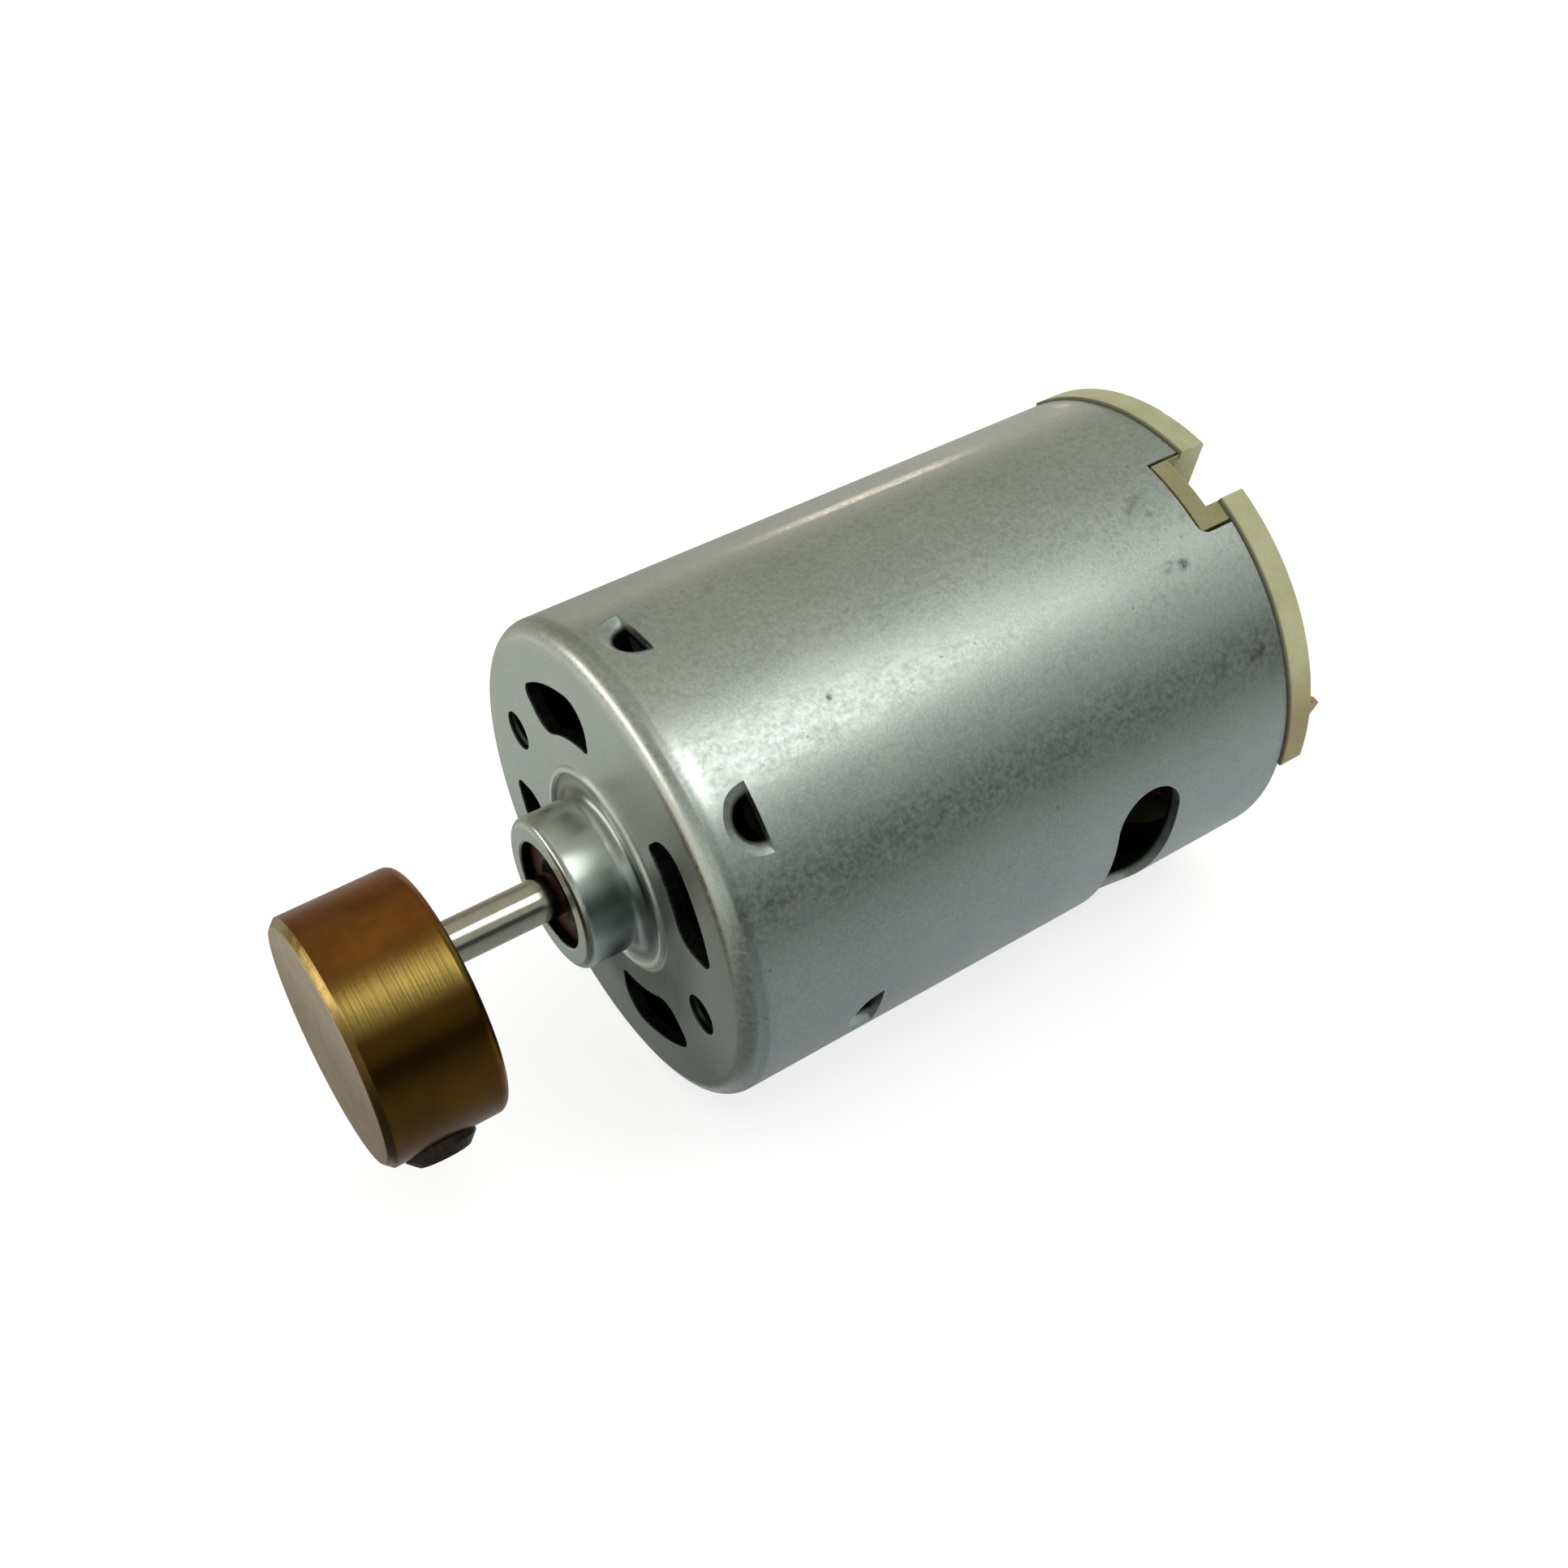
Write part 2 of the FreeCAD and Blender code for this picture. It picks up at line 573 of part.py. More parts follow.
def insulator(y0, y1):
    return star(SHOE_R + 0.1, CORE_R - 0.5, SHOE_HALF - 2, y0, y1)


def coil():
    """Winding round the tooth at angle 0."""
    body = Part.makeBox(COIL_DEPTH, COIL_Y1 - COIL_Y0, COIL_W,
                        Vector(COIL_X0, COIL_Y0, -COIL_W / 2))
    body = fillet_where(body, COIL_CORNER_R, lambda e: e.BoundBox.XLength > COIL_DEPTH - 0.1)
    opening_w = TOOTH_W + 2 * COIL_GAP
    body = body.cut(Part.makeBox(8, CORE_Y1 - CORE_Y0 + 2 * COIL_END, opening_w,
                                 Vector(4, CORE_Y0 - COIL_END, -opening_w / 2)))
    body = body.common(tube(SHOE_R - COIL_GAP, 0, 40))
    return body.cut(tube(CORE_HUB_R + COIL_GAP, 0, 40))


def commutator_hub():
    hub = tube(COMM_HUB_R, HUB_Y0, HUB_Y1, SHAFT_R)
    return solid(hub.fuse(tube(HUB_FLANGE_R, HUB_Y0, HUB_FLANGE_Y1, SHAFT_R)))


def commutator_bar(angle):
    """Copper segment with a hook at its front end."""
    segment = sector(COMM_HUB_R, COMM_R, angle - COMM_BAR_HALF, angle + COMM_BAR_HALF,
                     COMM_Y0, COMM_Y1)
    return segment.fuse(bar(COMM_R - 0.3, HOOK_R, HOOK_W, angle, COMM_Y0, COMM_Y0 + HOOK_T))


save("shaft", shaft())
save("armature_core", star(SHOE_R, CORE_R, SHOE_HALF, CORE_Y0, CORE_Y1))
save("front_insulator", insulator(CORE_Y0 - INSULATOR_T, CORE_Y0))
save("rear_insulator", insulator(CORE_Y1, CORE_Y1 + INSULATOR_T))
save("commutator_hub", commutator_hub())
for number, angle in enumerate(TOOTH_ANGLES, 1):
    save("coil_%d" % number, solid(turn(coil(), angle)))
    save("commutator_bar_%d" % number, commutator_bar(angle + 60))
save("surge_ring", tube(outer_r=7.3, y0=34.3, y1=35.3, inner_r=5.4))
save("front_spacer", spun(FRONT_SPACER_PROFILE))
save("front_thrust_washer", tube(outer_r=2.6, y0=0.86, y1=1.3, inner_r=SHAFT_R))
save("rear_spacer", tube(outer_r=2.3, y0=41.45, y1=45.2, inner_r=SHAFT_R))
save("rear_thrust_washer", tube(outer_r=2.4, y0=45.25, y1=45.65, inner_r=SHAFT_R))

# ---- eccentric weight and its radial set screw ----
WEIGHT_R = 8.95
WEIGHT_X, WEIGHT_Z = 1.70, -1.85
WEIGHT_Y0, WEIGHT_Y1 = -22.0, -13.4
WEIGHT_BORE_Y0 = -21.0                     # bottom of the blind bore
BORE_CHAMFER = 0.35
WEIGHT_ANGLE = math.degrees(math.atan2(WEIGHT_Z, WEIGHT_X))
WEIGHT_REACH = math.hypot(WEIGHT_X, WEIGHT_Z) + WEIGHT_R    # farthest from the shaft axis

SET_R = 2.5
SET_Y = -18.15
SET_X0, SET_X1 = 1.5, WEIGHT_REACH + 0.85  # the outer end stands proud
HEX_R, HEX_DEPTH = 1.45, 2.5               # socket, measured to its corners


def eccentric_weight():
    weight = tube(WEIGHT_R, WEIGHT_Y0, WEIGHT_Y1, x=WEIGHT_X, z=WEIGHT_Z)
    weight = chamfer_where(weight, 0.5, lambda e: circle_at(e, WEIGHT_R, WEIGHT_Y0))
    weight = fillet_where(weight, 0.7, lambda e: circle_at(e, WEIGHT_R, WEIGHT_Y1))
    weight = weight.cut(tube(SHAFT_R, WEIGHT_BORE_Y0, WEIGHT_Y1 + 1))
    weight = weight.cut(Part.makeCone(SHAFT_R, SHAFT_R + BORE_CHAMFER, BORE_CHAMFER,
                                      Vector(0, WEIGHT_Y1 - BORE_CHAMFER, 0), AXIS_Y))
    # screw hole; sparing the shaft's column keeps the bore's bottom whole
    hole = Part.makeCylinder(SET_R, WEIGHT_REACH + 1, Vector(0, SET_Y, 0),
                             polar(1, WEIGHT_ANGLE))
    return solid(weight.cut(hole.cut(tube(SHAFT_R, WEIGHT_Y0 - 1, WEIGHT_Y1 + 1))))


def set_screw():
    screw = Part.makeCylinder(SET_R, SET_X1 - SET_X0, Vector(SET_X0, SET_Y, 0), AXIS_X)
    screw = chamfer_where(screw, 0.65, lambda e: isinstance(e.Curve, Part.Circle)
                          and abs(e.BoundBox.XMin - SET_X1) < 1e-4)
    corners = [Vector(SET_X1 + 0.1, SET_Y + HEX_R * math.cos(math.radians(60 * i)),
                      HEX_R * math.sin(math.radians(60 * i))) for i in range(7)]
    socket = Part.Face(Part.makePolygon(corners)).extrude(Vector(-HEX_DEPTH - 0.1, 0, 0))
    screw = screw.cut(socket)
    screw = screw.cut(tube(SHAFT_R, WEIGHT_Y0 - 1, WEIGHT_Y1 + 1))
    return solid(turn(screw, WEIGHT_ANGLE))


save("eccentric_weight", eccentric_weight())
save("weight_set_screw", set_screw())
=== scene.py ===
"""Small brushed DC motor with an off-centre brass weight on its shaft.

The shaft lies along Y. The weight and the front plate (y = 0) face -Y, the nylon cap closes
the can at +Y, and Z is up. Sizes are in millimetres unless a name or comment says otherwise.
Angles are degrees about the shaft: 0 points to +X and 90 to +Z.
"""
import json
import math
import random
from functools import cached_property, reduce

import bpy
import numpy as np
from mathutils import Matrix, Vector


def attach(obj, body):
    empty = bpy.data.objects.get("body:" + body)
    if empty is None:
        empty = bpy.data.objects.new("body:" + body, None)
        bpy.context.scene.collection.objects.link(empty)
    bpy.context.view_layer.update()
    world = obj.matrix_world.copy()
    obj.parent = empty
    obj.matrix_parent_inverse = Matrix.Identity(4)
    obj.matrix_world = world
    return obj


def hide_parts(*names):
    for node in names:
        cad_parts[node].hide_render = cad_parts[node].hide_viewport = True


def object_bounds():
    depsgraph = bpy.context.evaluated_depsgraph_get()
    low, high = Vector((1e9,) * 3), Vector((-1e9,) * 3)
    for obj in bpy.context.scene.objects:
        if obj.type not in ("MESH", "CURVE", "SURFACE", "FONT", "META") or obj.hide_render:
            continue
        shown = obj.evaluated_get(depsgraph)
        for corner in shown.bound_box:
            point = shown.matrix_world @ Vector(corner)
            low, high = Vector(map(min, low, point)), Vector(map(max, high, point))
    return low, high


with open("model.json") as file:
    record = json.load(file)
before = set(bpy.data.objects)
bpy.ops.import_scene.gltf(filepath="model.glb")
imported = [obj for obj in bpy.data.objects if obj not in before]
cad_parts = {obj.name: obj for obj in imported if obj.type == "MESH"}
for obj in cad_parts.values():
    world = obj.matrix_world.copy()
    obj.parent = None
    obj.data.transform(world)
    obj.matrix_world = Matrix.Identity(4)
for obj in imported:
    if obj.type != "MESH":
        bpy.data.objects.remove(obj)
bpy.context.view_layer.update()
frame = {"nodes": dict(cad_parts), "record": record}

random.seed(7)
scene = bpy.context.scene

MM = 0.001                     # metres in a millimetre
DEGREES = 57.29578             # degrees in a radian, for shader angles

# can
CAN_RADIUS = 17.9
CAN_CORNER = 1.5               # outer radius of the rounded front corner
CAN_SIDE_Y = (1.9, 46.1)       # ends of the straight side

# eccentric weight
WEIGHT_X, WEIGHT_Z = 1.70, -1.85   # axis of its rim
WEIGHT_FEED = 0.26                 # pitch of the turning lines

# rotor
TOOTH_ANGLES = (80.0, 200.0, 320.0)
HOOK_OFFSET = 60.0             # from a tooth to the next commutator hook


# ---------------------------------------------------------------------------
# node graphs
# ---------------------------------------------------------------------------
class Value:
    """An output socket. Arithmetic on it adds Math nodes, operands in the written order."""

    def __init__(self, graph, socket):
        self.graph = graph
        self.socket = socket

    def output(self, key):
        """Another output of the same node."""
        return Value(self.graph, self.socket.node.outputs[key])

    def __add__(self, other):
        return self.graph.math("ADD", self, other)

    def __radd__(self, other):
        return self.graph.math("ADD", other, self)

    def __sub__(self, other):
        return self.graph.math("SUBTRACT", self, other)

    def __rsub__(self, other):
        return self.graph.math("SUBTRACT", other, self)

    def __mul__(self, other):
        return self.graph.math("MULTIPLY", self, other)

    def __truediv__(self, other):
        return self.graph.math("DIVIDE", self, other)

    def __abs__(self):
        return self.graph.math("ABSOLUTE", self)

    def maximum(self, other):
        return self.graph.math("MAXIMUM", self, other)

    def clamped(self):
        """Limits the Math node that made this value to 0..1."""
        self.socket.node.use_clamp = True
        return self

    def map_range(self, source, target, interpolation):
        return self.graph.node(
            "ShaderNodeMapRange",
            {"Value": self, "From Min": source[0], "From Max": source[1],
             "To Min": target[0], "To Max": target[1]},
            interpolation_type=interpolation, clamp=True)

    def step(self, off, on):
        """Smooth mask, 0 at off and 1 at on; off may lie above on."""
        if off <= on:
            return self.map_range((off, on), (0.0, 1.0), "SMOOTHSTEP")
        return self.map_range((on, off), (1.0, 0.0), "SMOOTHSTEP")

    def band(self, rise, fall):
        """Smooth mask that comes on over the range rise and goes off over the range fall."""
        return self.step(off=rise[0], on=rise[1]) * self.step(off=fall[1], on=fall[0])

    def near(self, centre, off, on):
        """Smooth mask by distance from centre: 0 at distance off, 1 at distance on."""
        return abs(self - centre).step(off=off, on=on)

    def fit(self, out=(0.0, 1.0), over=(0.35, 0.65)):
        """Maps the range over to the range out in a straight line, clamped."""
        return self.map_range(over, out, "LINEAR")

    def blend(self, to, amount):
        """This colour mixed towards another by a mask."""
        return self.graph.mix(self, to, amount)


class Graph:
    """Builds nodes in an emptied node tree."""

    def __init__(self, tree):
        self.tree = tree
        tree.nodes.clear()

    def node(self, kind, inputs=None, **settings):
        """Adds a node, fills its inputs by key, and returns its first output if it has one."""
        node = self.tree.nodes.new(kind)
        for key, setting in settings.items():
            setattr(node, key, setting)
        for key, value in (inputs or {}).items():
            socket = node.inputs[key]
            if isinstance(value, Value):
                self.tree.links.new(value.socket, socket)
            else:
                socket.default_value = (*value, 1.0) if socket.type == "RGBA" else value
        return Value(self, node.outputs[0]) if len(node.outputs) else None

    def math(self, operation, *operands):
        return self.node("ShaderNodeMath", dict(enumerate(operands)), operation=operation)

    def hypot(self, a, b):
        return self.math("SQRT", a * a + b * b)

    def vector(self, x, y, z):
        return self.node("ShaderNodeCombineXYZ", {0: x, 1: y, 2: z})

    def split(self, vector):
        parts = self.node("ShaderNodeSeparateXYZ", {0: vector})
        return [parts.output(i) for i in range(3)]

    def mix(self, a, b, amount, kind="RGBA"):
        """Mixes colours, or vectors with kind VECTOR; the Mix node has sockets for each kind."""
        first, result = {"VECTOR": (4, 1), "RGBA": (6, 2)}[kind]
        mixed = self.node("ShaderNodeMix", {0: amount, first: a, first + 1: b}, data_type=kind)
        return mixed.output(result)


class Surface(Graph):
    """Graph of one material, with the object position in millimetres at hand."""

    def __init__(self, name):
        self.material = bpy.data.materials.new(name)
        self.material.use_nodes = True
        super().__init__(self.material.node_tree)
        metres = self.node("ShaderNodeTexCoord").output("Object")
        self.position = self.node("ShaderNodeVectorMath", {0: metres, 1: (1000.0,) * 3},
                                  operation="MULTIPLY")

    @cached_property
    def axes(self):
        return self.split(self.position)

    @property
    def x(self):
        return self.axes[0]

    @property
    def y(self):
        return self.axes[1]

    @property
    def z(self):
        return self.axes[2]

    @cached_property
    def radius(self):
        """Distance from the shaft axis."""
        return self.hypot(self.x, self.z)

    @cached_property
    def angle(self):
        """Degrees about the shaft."""
        return self.math("ARCTAN2", self.z, self.x) * DEGREES

    def noise(self, scale, detail=3.0, roughness=0.55, at=None):
        return self.node("ShaderNodeTexNoise",
                         {"Vector": at or self.position, "Scale": scale,
                          "Detail": detail, "Roughness": roughness})

    def spot(self, angle, along, size, stretch, tilt=0.0):
        """Soft round mark on the side of the can, stretched along a direction at tilt degrees."""
        around = (self.angle - angle) * (math.radians(1) * CAN_RADIUS)
        ahead = self.y - along
        cos, sin = math.cos(math.radians(tilt)), math.sin(math.radians(tilt))
        length = around * cos + ahead * sin
        width = ahead * cos - around * sin
        return self.hypot(length / stretch, width).step(off=size, on=size * 0.25)

    def finish(self, colour, metallic, roughness, height, normal=None, extra=None):
        """Closes the material; height is the bump in millimetres, extra more shader inputs."""
        bump = {"Strength": 1.0, "Distance": MM, "Height": height}
        if normal is not None:
            bump["Normal"] = normal
        shader = self.node("ShaderNodeBsdfPrincipled",
                           {"Base Color": colour, "Metallic": metallic, "Roughness": roughness,
                            "Normal": self.node("ShaderNodeBump", bump), **(extra or {})})
        self.node("ShaderNodeOutputMaterial", {0: shader})
        return self.material


# ---------------------------------------------------------------------------
# zinc-plated steel can
# ---------------------------------------------------------------------------
# angle, y, size, stretch, tilt in degrees, strength
HANDLING_MARKS = (
    (56.9, 12.6, 0.36, 1.0, 0, 0.9), (51.0, 39.8, 0.6, 1.6, 70, 0.45),
    (50.2, 41.0, 0.62, 1.5, 80, 0.75), (67.1, 40.3, 0.95, 1.8, 60, 0.28),
    (24.7, 44.3, 0.7, 2.2, 80, 0.5), (64.0, 40.9, 0.5, 1.2, 0, 0.3),
    (21.0, 45.6, 0.8, 2.6, 10, 0.15), (26.0, 41.2, 0.5, 1.0, 0, 0.4),
)


def can_normal(t):
    """True normal of the can's side and rounded front corner; the mesh's own elsewhere."""
    radius, corner = CAN_RADIUS, CAN_CORNER
    front, rear = CAN_SIDE_Y
    radial_x, radial_z = t.x / t.radius, t.z / t.radius
    side = (t.radius.step(off=radius - 0.045, on=radius - 0.025)
            * t.y.band(rise=(front - 0.05, front), fall=(rear, rear + 0.05)))
    # the corner is a quarter torus about the circle at (radius - corner, y = corner)
    outward = (t.radius - (radius - corner)).maximum(0.0)
    forward = (corner - t.y).maximum(0.0)
    rounded = (t.hypot(outward, forward).step(off=corner - 0.07, on=corner - 0.04)
               * (t.radius.step(off=radius - corner, on=radius - corner + 0.02)
                  * t.y.step(off=corner, on=corner - 0.02)))
    corner_normal = t.vector(radial_x * outward, forward * -1.0, radial_z * outward)
    normal = t.node("ShaderNodeNewGeometry").output("Normal")
    for mask, vector in ((side, t.vector(radial_x, 0.0, radial_z)), (rounded, corner_normal)):
        world_vector = t.node("ShaderNodeVectorTransform", {0: vector}, vector_type="NORMAL",
                              convert_from="OBJECT", convert_to="WORLD")
        unit = t.node("ShaderNodeVectorMath", {0: world_vector}, operation="NORMALIZE")
        normal = t.mix(normal, unit, mask, kind="VECTOR")
    return normal


def zinc_plating(t, cloud, grain, coarse):
    """Cloudy grained plating with sparse dark flecks."""
    colour = t.mix((0.555, 0.600, 0.572), (0.615, 0.650, 0.620), cloud.fit())
    colour = colour.blend((0.74, 0.77, 0.74), grain.fit(out=(0.0, 0.75), over=(0.42, 0.68)))
    colour = colour.blend((0.42, 0.455, 0.44), coarse.fit(out=(0.20, 0.0), over=(0.34, 0.50)))
    cells = t.node("ShaderNodeTexVoronoi", {"Vector": t.position, "Scale": 0.55})
    flecks = (cells.output("Distance").step(off=0.085, on=0.03)
              * t.noise(scale=0.30, detail=1.0).step(off=0.54, on=0.62))
    flecks = flecks * t.radius.step(off=7.8, on=8.6)
    return colour.blend((0.12, 0.13, 0.12), flecks * 0.55)


def zinc_handling_marks(t, colour, outer):
    """Ragged dark marks on the side."""
    marks = []
    for angle, along, size, stretch, tilt, strength in HANDLING_MARKS:
        mark = t.spot(angle, along, size, stretch, tilt) * strength
        marks.append(mark * t.noise(scale=1.7, detail=2.0).step(off=0.30, on=0.62))
    return colour.blend((0.05, 0.055, 0.055), reduce(Value.maximum, marks) * outer)


def zinc_boss(t, colour, boss):
    """The smoother boss in front of the plate, with painted highlight and painted shade on its
    wall.
    """
    lip = boss * t.y.step(off=-3.95, on=-4.30)
    wall = boss - lip
    # painted highlight: the boss wall is painted lighter than the rest of the plating
    colour = colour.blend((0.80, 0.845, 0.815), wall * 0.94)
    # painted shade on the +X side of the boss wall
    boss_side_shade = t.angle.near(19.0, off=24.0, on=10.0)
    colour = colour.blend((0.33, 0.395, 0.370), wall * boss_side_shade * 0.88)
    # painted shade over the top and left of the boss wall
    top_left = t.angle.band(rise=(84.0, 108.0), fall=(200.0, 240.0))
    colour = colour.blend((0.34, 0.375, 0.315), wall * top_left * 0.8)
    # painted shade at the foot, and a painted highlight on the ring round it
    foot = t.y.step(off=-1.3, on=-0.10) * t.radius.step(off=7.15, on=6.95)
    colour = colour.blend((0.11, 0.12, 0.11), foot * 0.6)
    ring = (t.y.step(off=-0.08, on=-0.16)
            * t.radius.band(rise=(6.95, 7.1), fall=(7.7, 7.85)))
    return colour.blend((0.86, 0.87, 0.82), ring * 0.8)


def zinc_plate_shade(t, colour, cloud):
    """Painted shade on the front plate, towards +X and -Z and deepest around the boss."""
    down_right = t.x * 0.766 - t.z * 0.643
    below = t.angle.step(off=-170.0, on=-140.0)
    plate_shade = down_right.step(off=-6.0, on=10.0) * 0.36
    round_boss = t.radius.step(off=13.5, on=9.0) * t.angle.step(off=38.0, on=-5.0) * below
    plate_shade = plate_shade + round_boss * 0.48
    plate_shade = (plate_shade + t.angle.step(off=-15.0, on=-45.0) * below * 0.34).clamped()
    plate = (t.radius.band(rise=(7.75, 8.1), fall=(16.4, 17.0))
             * t.y.step(off=0.30, on=0.15))
    plate_shade = plate_shade * plate * cloud.fit(out=(0.85, 1.0))
    # painted shade on the plate
    return colour.blend((0.12, 0.135, 0.125), plate_shade)


def zinc_openings(t, colour, inside):
    """Painted shade inside the can, on the cut walls of the plate openings, and in the boss's
    bore.
    """
    colour = colour.blend((0.010, 0.010, 0.010), inside)
    # painted shade on the cut walls of the openings
    walls = t.radius.step(off=16.4, on=16.2) * t.y.step(off=0.05, on=0.20)
    walls = walls * t.radius.step(off=9.0, on=9.6)
    colour = colour.blend((0.020, 0.021, 0.020), walls * 0.93)
    # painted shade in the bore of the boss and round its rim
    bore = t.radius.step(off=4.68, on=4.60) * t.y.step(off=-4.35, on=-4.2)
    rim = t.radius.step(off=4.25, on=4.12) * t.y.step(off=-4.54, on=-4.42)
    return colour.blend((0.020, 0.015, 0.013), bore.maximum(rim))


def zinc_steel(name):
    t = Surface(name)
    grain = t.noise(scale=5.5, detail=2.0, roughness=0.6)
    coarse = t.noise(scale=2.6, detail=2.0, roughness=0.5)
    cloud = t.noise(scale=0.16, roughness=0.5)
    # noise stretched by the drawing of the can
    drawn = t.noise(scale=2.2, roughness=0.6,
                    at=t.vector(t.angle * 0.3124, t.y * 0.35, t.radius))
    fine = t.noise(scale=1.0, detail=2.0, roughness=0.6,
                   at=t.vector(t.angle * 0.9, t.y * 5.0, t.radius * 3.0))
    outer = t.radius.step(off=17.2, on=17.6)
    boss = t.radius.step(off=6.95, on=6.60) * t.y.step(off=0.02, on=-0.15)

    colour = zinc_plating(t, cloud, grain, coarse)
    colour = zinc_handling_marks(t, colour, outer)

    # fine bright scratches
    slanted = t.vector(t.angle * 0.9, t.y * 0.06 + t.angle * 0.012, 0.0)
    scratches = (t.noise(scale=1.5, detail=2.0, roughness=0.5, at=slanted)
                 .step(off=0.700, on=0.735)
                 * t.noise(scale=0.22, detail=1.0).step(off=0.50, on=0.60))
    scratches = scratches * outer
    colour = colour.blend((0.80, 0.82, 0.80), scratches * 0.25)

    colour = zinc_boss(t, colour, boss)
    colour = zinc_plate_shade(t, colour, cloud)

    # painted highlight on the front corner, and painted shade where it meets the side
    nose_highlight = t.y.step(off=0.75, on=0.15) * t.radius.step(off=16.7, on=17.05)
    colour = colour.blend((0.90, 0.89, 0.82), nose_highlight * 0.70)
    shade = t.y.band(rise=(0.85, 1.15), fall=(1.45, 1.75))
    shade = shade * t.radius.step(off=17.3, on=17.6)
    colour = colour.blend((0.22, 0.24, 0.235), shade * 0.30)

    # painted highlight in a streak just behind the corner
    streak_highlight = (t.angle.near(53.0, off=14.0, on=2.0)
              * t.y.band(rise=(1.35, 2.00), fall=(2.05, 3.00)))
    streak_highlight = streak_highlight * t.radius.step(off=17.3, on=17.6)
    colour = colour.blend((0.92, 0.94, 0.91), streak_highlight * 0.50)

    # painted highlight along a thin line on the top of the can, and a painted glint at its rear
    # rim
    top_glint = (t.angle.near(106.2, off=2.7, on=0.8)
            * t.y.band(rise=(13.0, 23.0), fall=(30.0, 38.0)))
    top_glint = top_glint.maximum(t.spot(angle=111.0, along=45.2, size=0.75, stretch=1.6)) * outer
    colour = colour.blend((0.96, 0.93, 0.87), top_glint * 0.85)

    # painted shade inside the can, seen through the openings and the pressed-in lances
    inside = (t.radius.step(off=17.50, on=17.05)
              * t.y.band(rise=(1.6, 1.75), fall=(46.38, 46.45)))
    inside = inside.maximum(t.radius.step(off=16.95, on=16.85) * t.y.step(off=0.80, on=0.98))
    colour = zinc_openings(t, colour, inside)

    boss_roughness = 0.27
    roughness = coarse.fit(out=(0.33, 0.43)) + drawn.fit(out=(-0.035, 0.035)) - nose_highlight * 0.07
    roughness = roughness * (1.0 - boss) + boss * boss_roughness
    roughness = (roughness - streak_highlight * 0.05 - top_glint * 0.17 + inside * 0.3).clamped()

    # bump depths in millimetres
    height = grain * 0.0038 + coarse * 0.0026 + fine * 0.0020
    height = height + t.noise(scale=0.5, detail=1.0, roughness=0.5) * 0.0014
    # slight waist just behind the rounded front corner
    offset = (t.y - 1.35) / 0.32
    waist = t.math("EXPONENT", offset * offset * -1.0)
    height = height - waist * outer * 0.030
    height = height + drawn * 0.0012 - scratches * 0.0008
    # the boss and the front corner are nearly smooth
    corner = t.y.step(off=1.25, on=0.85) * t.radius.step(off=16.3, on=16.7)
    height = height * (1.0 - boss.maximum(corner) * 0.95)
    return t.finish(colour, metallic=1.0, roughness=roughness, height=height,
                    normal=can_normal(t))


# ---------------------------------------------------------------------------
# other materials
# ---------------------------------------------------------------------------
def nylon_ivory(name):
    t = Surface(name)
    cloud = t.noise(scale=0.35)
    grain = t.noise(scale=3.5)
    colour = t.mix((0.40, 0.400, 0.215), (0.47, 0.470, 0.265), cloud.fit())
    colour = colour.blend((0.55, 0.555, 0.36), grain.fit(out=(0.0, 0.25), over=(0.4, 0.7)))
    # brownish painted shade and copper reflection from the terminal on the +X side of the rim
    terminal_shade_and_reflection = abs(t.angle + 4.0).step(off=26.0, on=6.0) * t.radius.step(off=15.5, on=17.5)
    colour = colour.blend((0.23, 0.165, 0.075), terminal_shade_and_reflection * 0.75)
    # brown on the outer part ahead of the rim, darker along the joint with the can, and painted
    # shade inside
    ahead = t.y.step(off=46.5, on=46.3) * t.radius.step(off=15.5, on=16.5)
    colour = colour.blend((0.21, 0.180, 0.065), ahead * grain.fit(out=(0.58, 0.72)))
    joint = (t.y.step(off=46.80, on=46.52)
             * (t.radius.step(off=17.2, on=17.6) * t.y.step(off=46.30, on=46.42)))
    colour = colour.blend((0.06, 0.055, 0.035), joint * 0.8)
    inner = t.radius.step(off=17.0, on=16.8) * t.y.step(off=46.40, on=46.2)
    colour = colour.blend((0.030, 0.028, 0.018), inner)
    return t.finish(colour, metallic=0.0, roughness=grain.fit(out=(0.42, 0.56)),
                    height=grain * 0.010 + t.noise(scale=9.0, detail=2.0) * 0.004,
                    extra={"Subsurface Weight": 0.25, "Subsurface Radius": (1.0, 0.9, 0.6),
                           "Subsurface Scale": 0.0006, "Specular IOR Level": 0.45})


def ground_steel(name):
    t = Surface(name)
    lines = t.noise(scale=1.0, detail=4.0, roughness=0.65,
                    at=t.vector(0.0, t.y * 14.0, t.angle * 0.004))
    cloud = t.noise(scale=1.2, detail=2.0)
    colour = t.mix((0.60, 0.555, 0.47), (0.68, 0.635, 0.55), cloud.fit(over=(0.3, 0.7)))
    colour = colour.blend((0.36, 0.33, 0.28), lines.fit(out=(0.25, 0.0), over=(0.3, 0.5)))
    # turned rings on the rear end face
    end = t.y.step(off=49.9, on=49.97) * t.radius.step(off=1.35, on=1.2)
    rings = t.math("SINE", t.radius * 60.0)
    return t.finish(colour, metallic=1.0, roughness=lines.fit(out=(0.08, 0.15), over=(0.3, 0.7)),
                    height=lines * 0.0016 + rings * (end * 0.0006))


def brass_face(t, stain, z_from_axis):
    """Colour of the weight's front face, with a pale painted reflection towards its top."""
    colour = t.mix((0.38, 0.225, 0.105), (0.49, 0.32, 0.175), stain.fit())
    # painted reflection, paler towards the top of the face
    upper_reflection = z_from_axis.step(off=-2.0, on=7.0)
    colour = colour.blend((0.78, 0.60, 0.45), upper_reflection * 0.8)
    return colour.blend((0.26, 0.15, 0.075),
                        t.noise(scale=1.1).fit(out=(0.45, 0.0), over=(0.3, 0.5)))


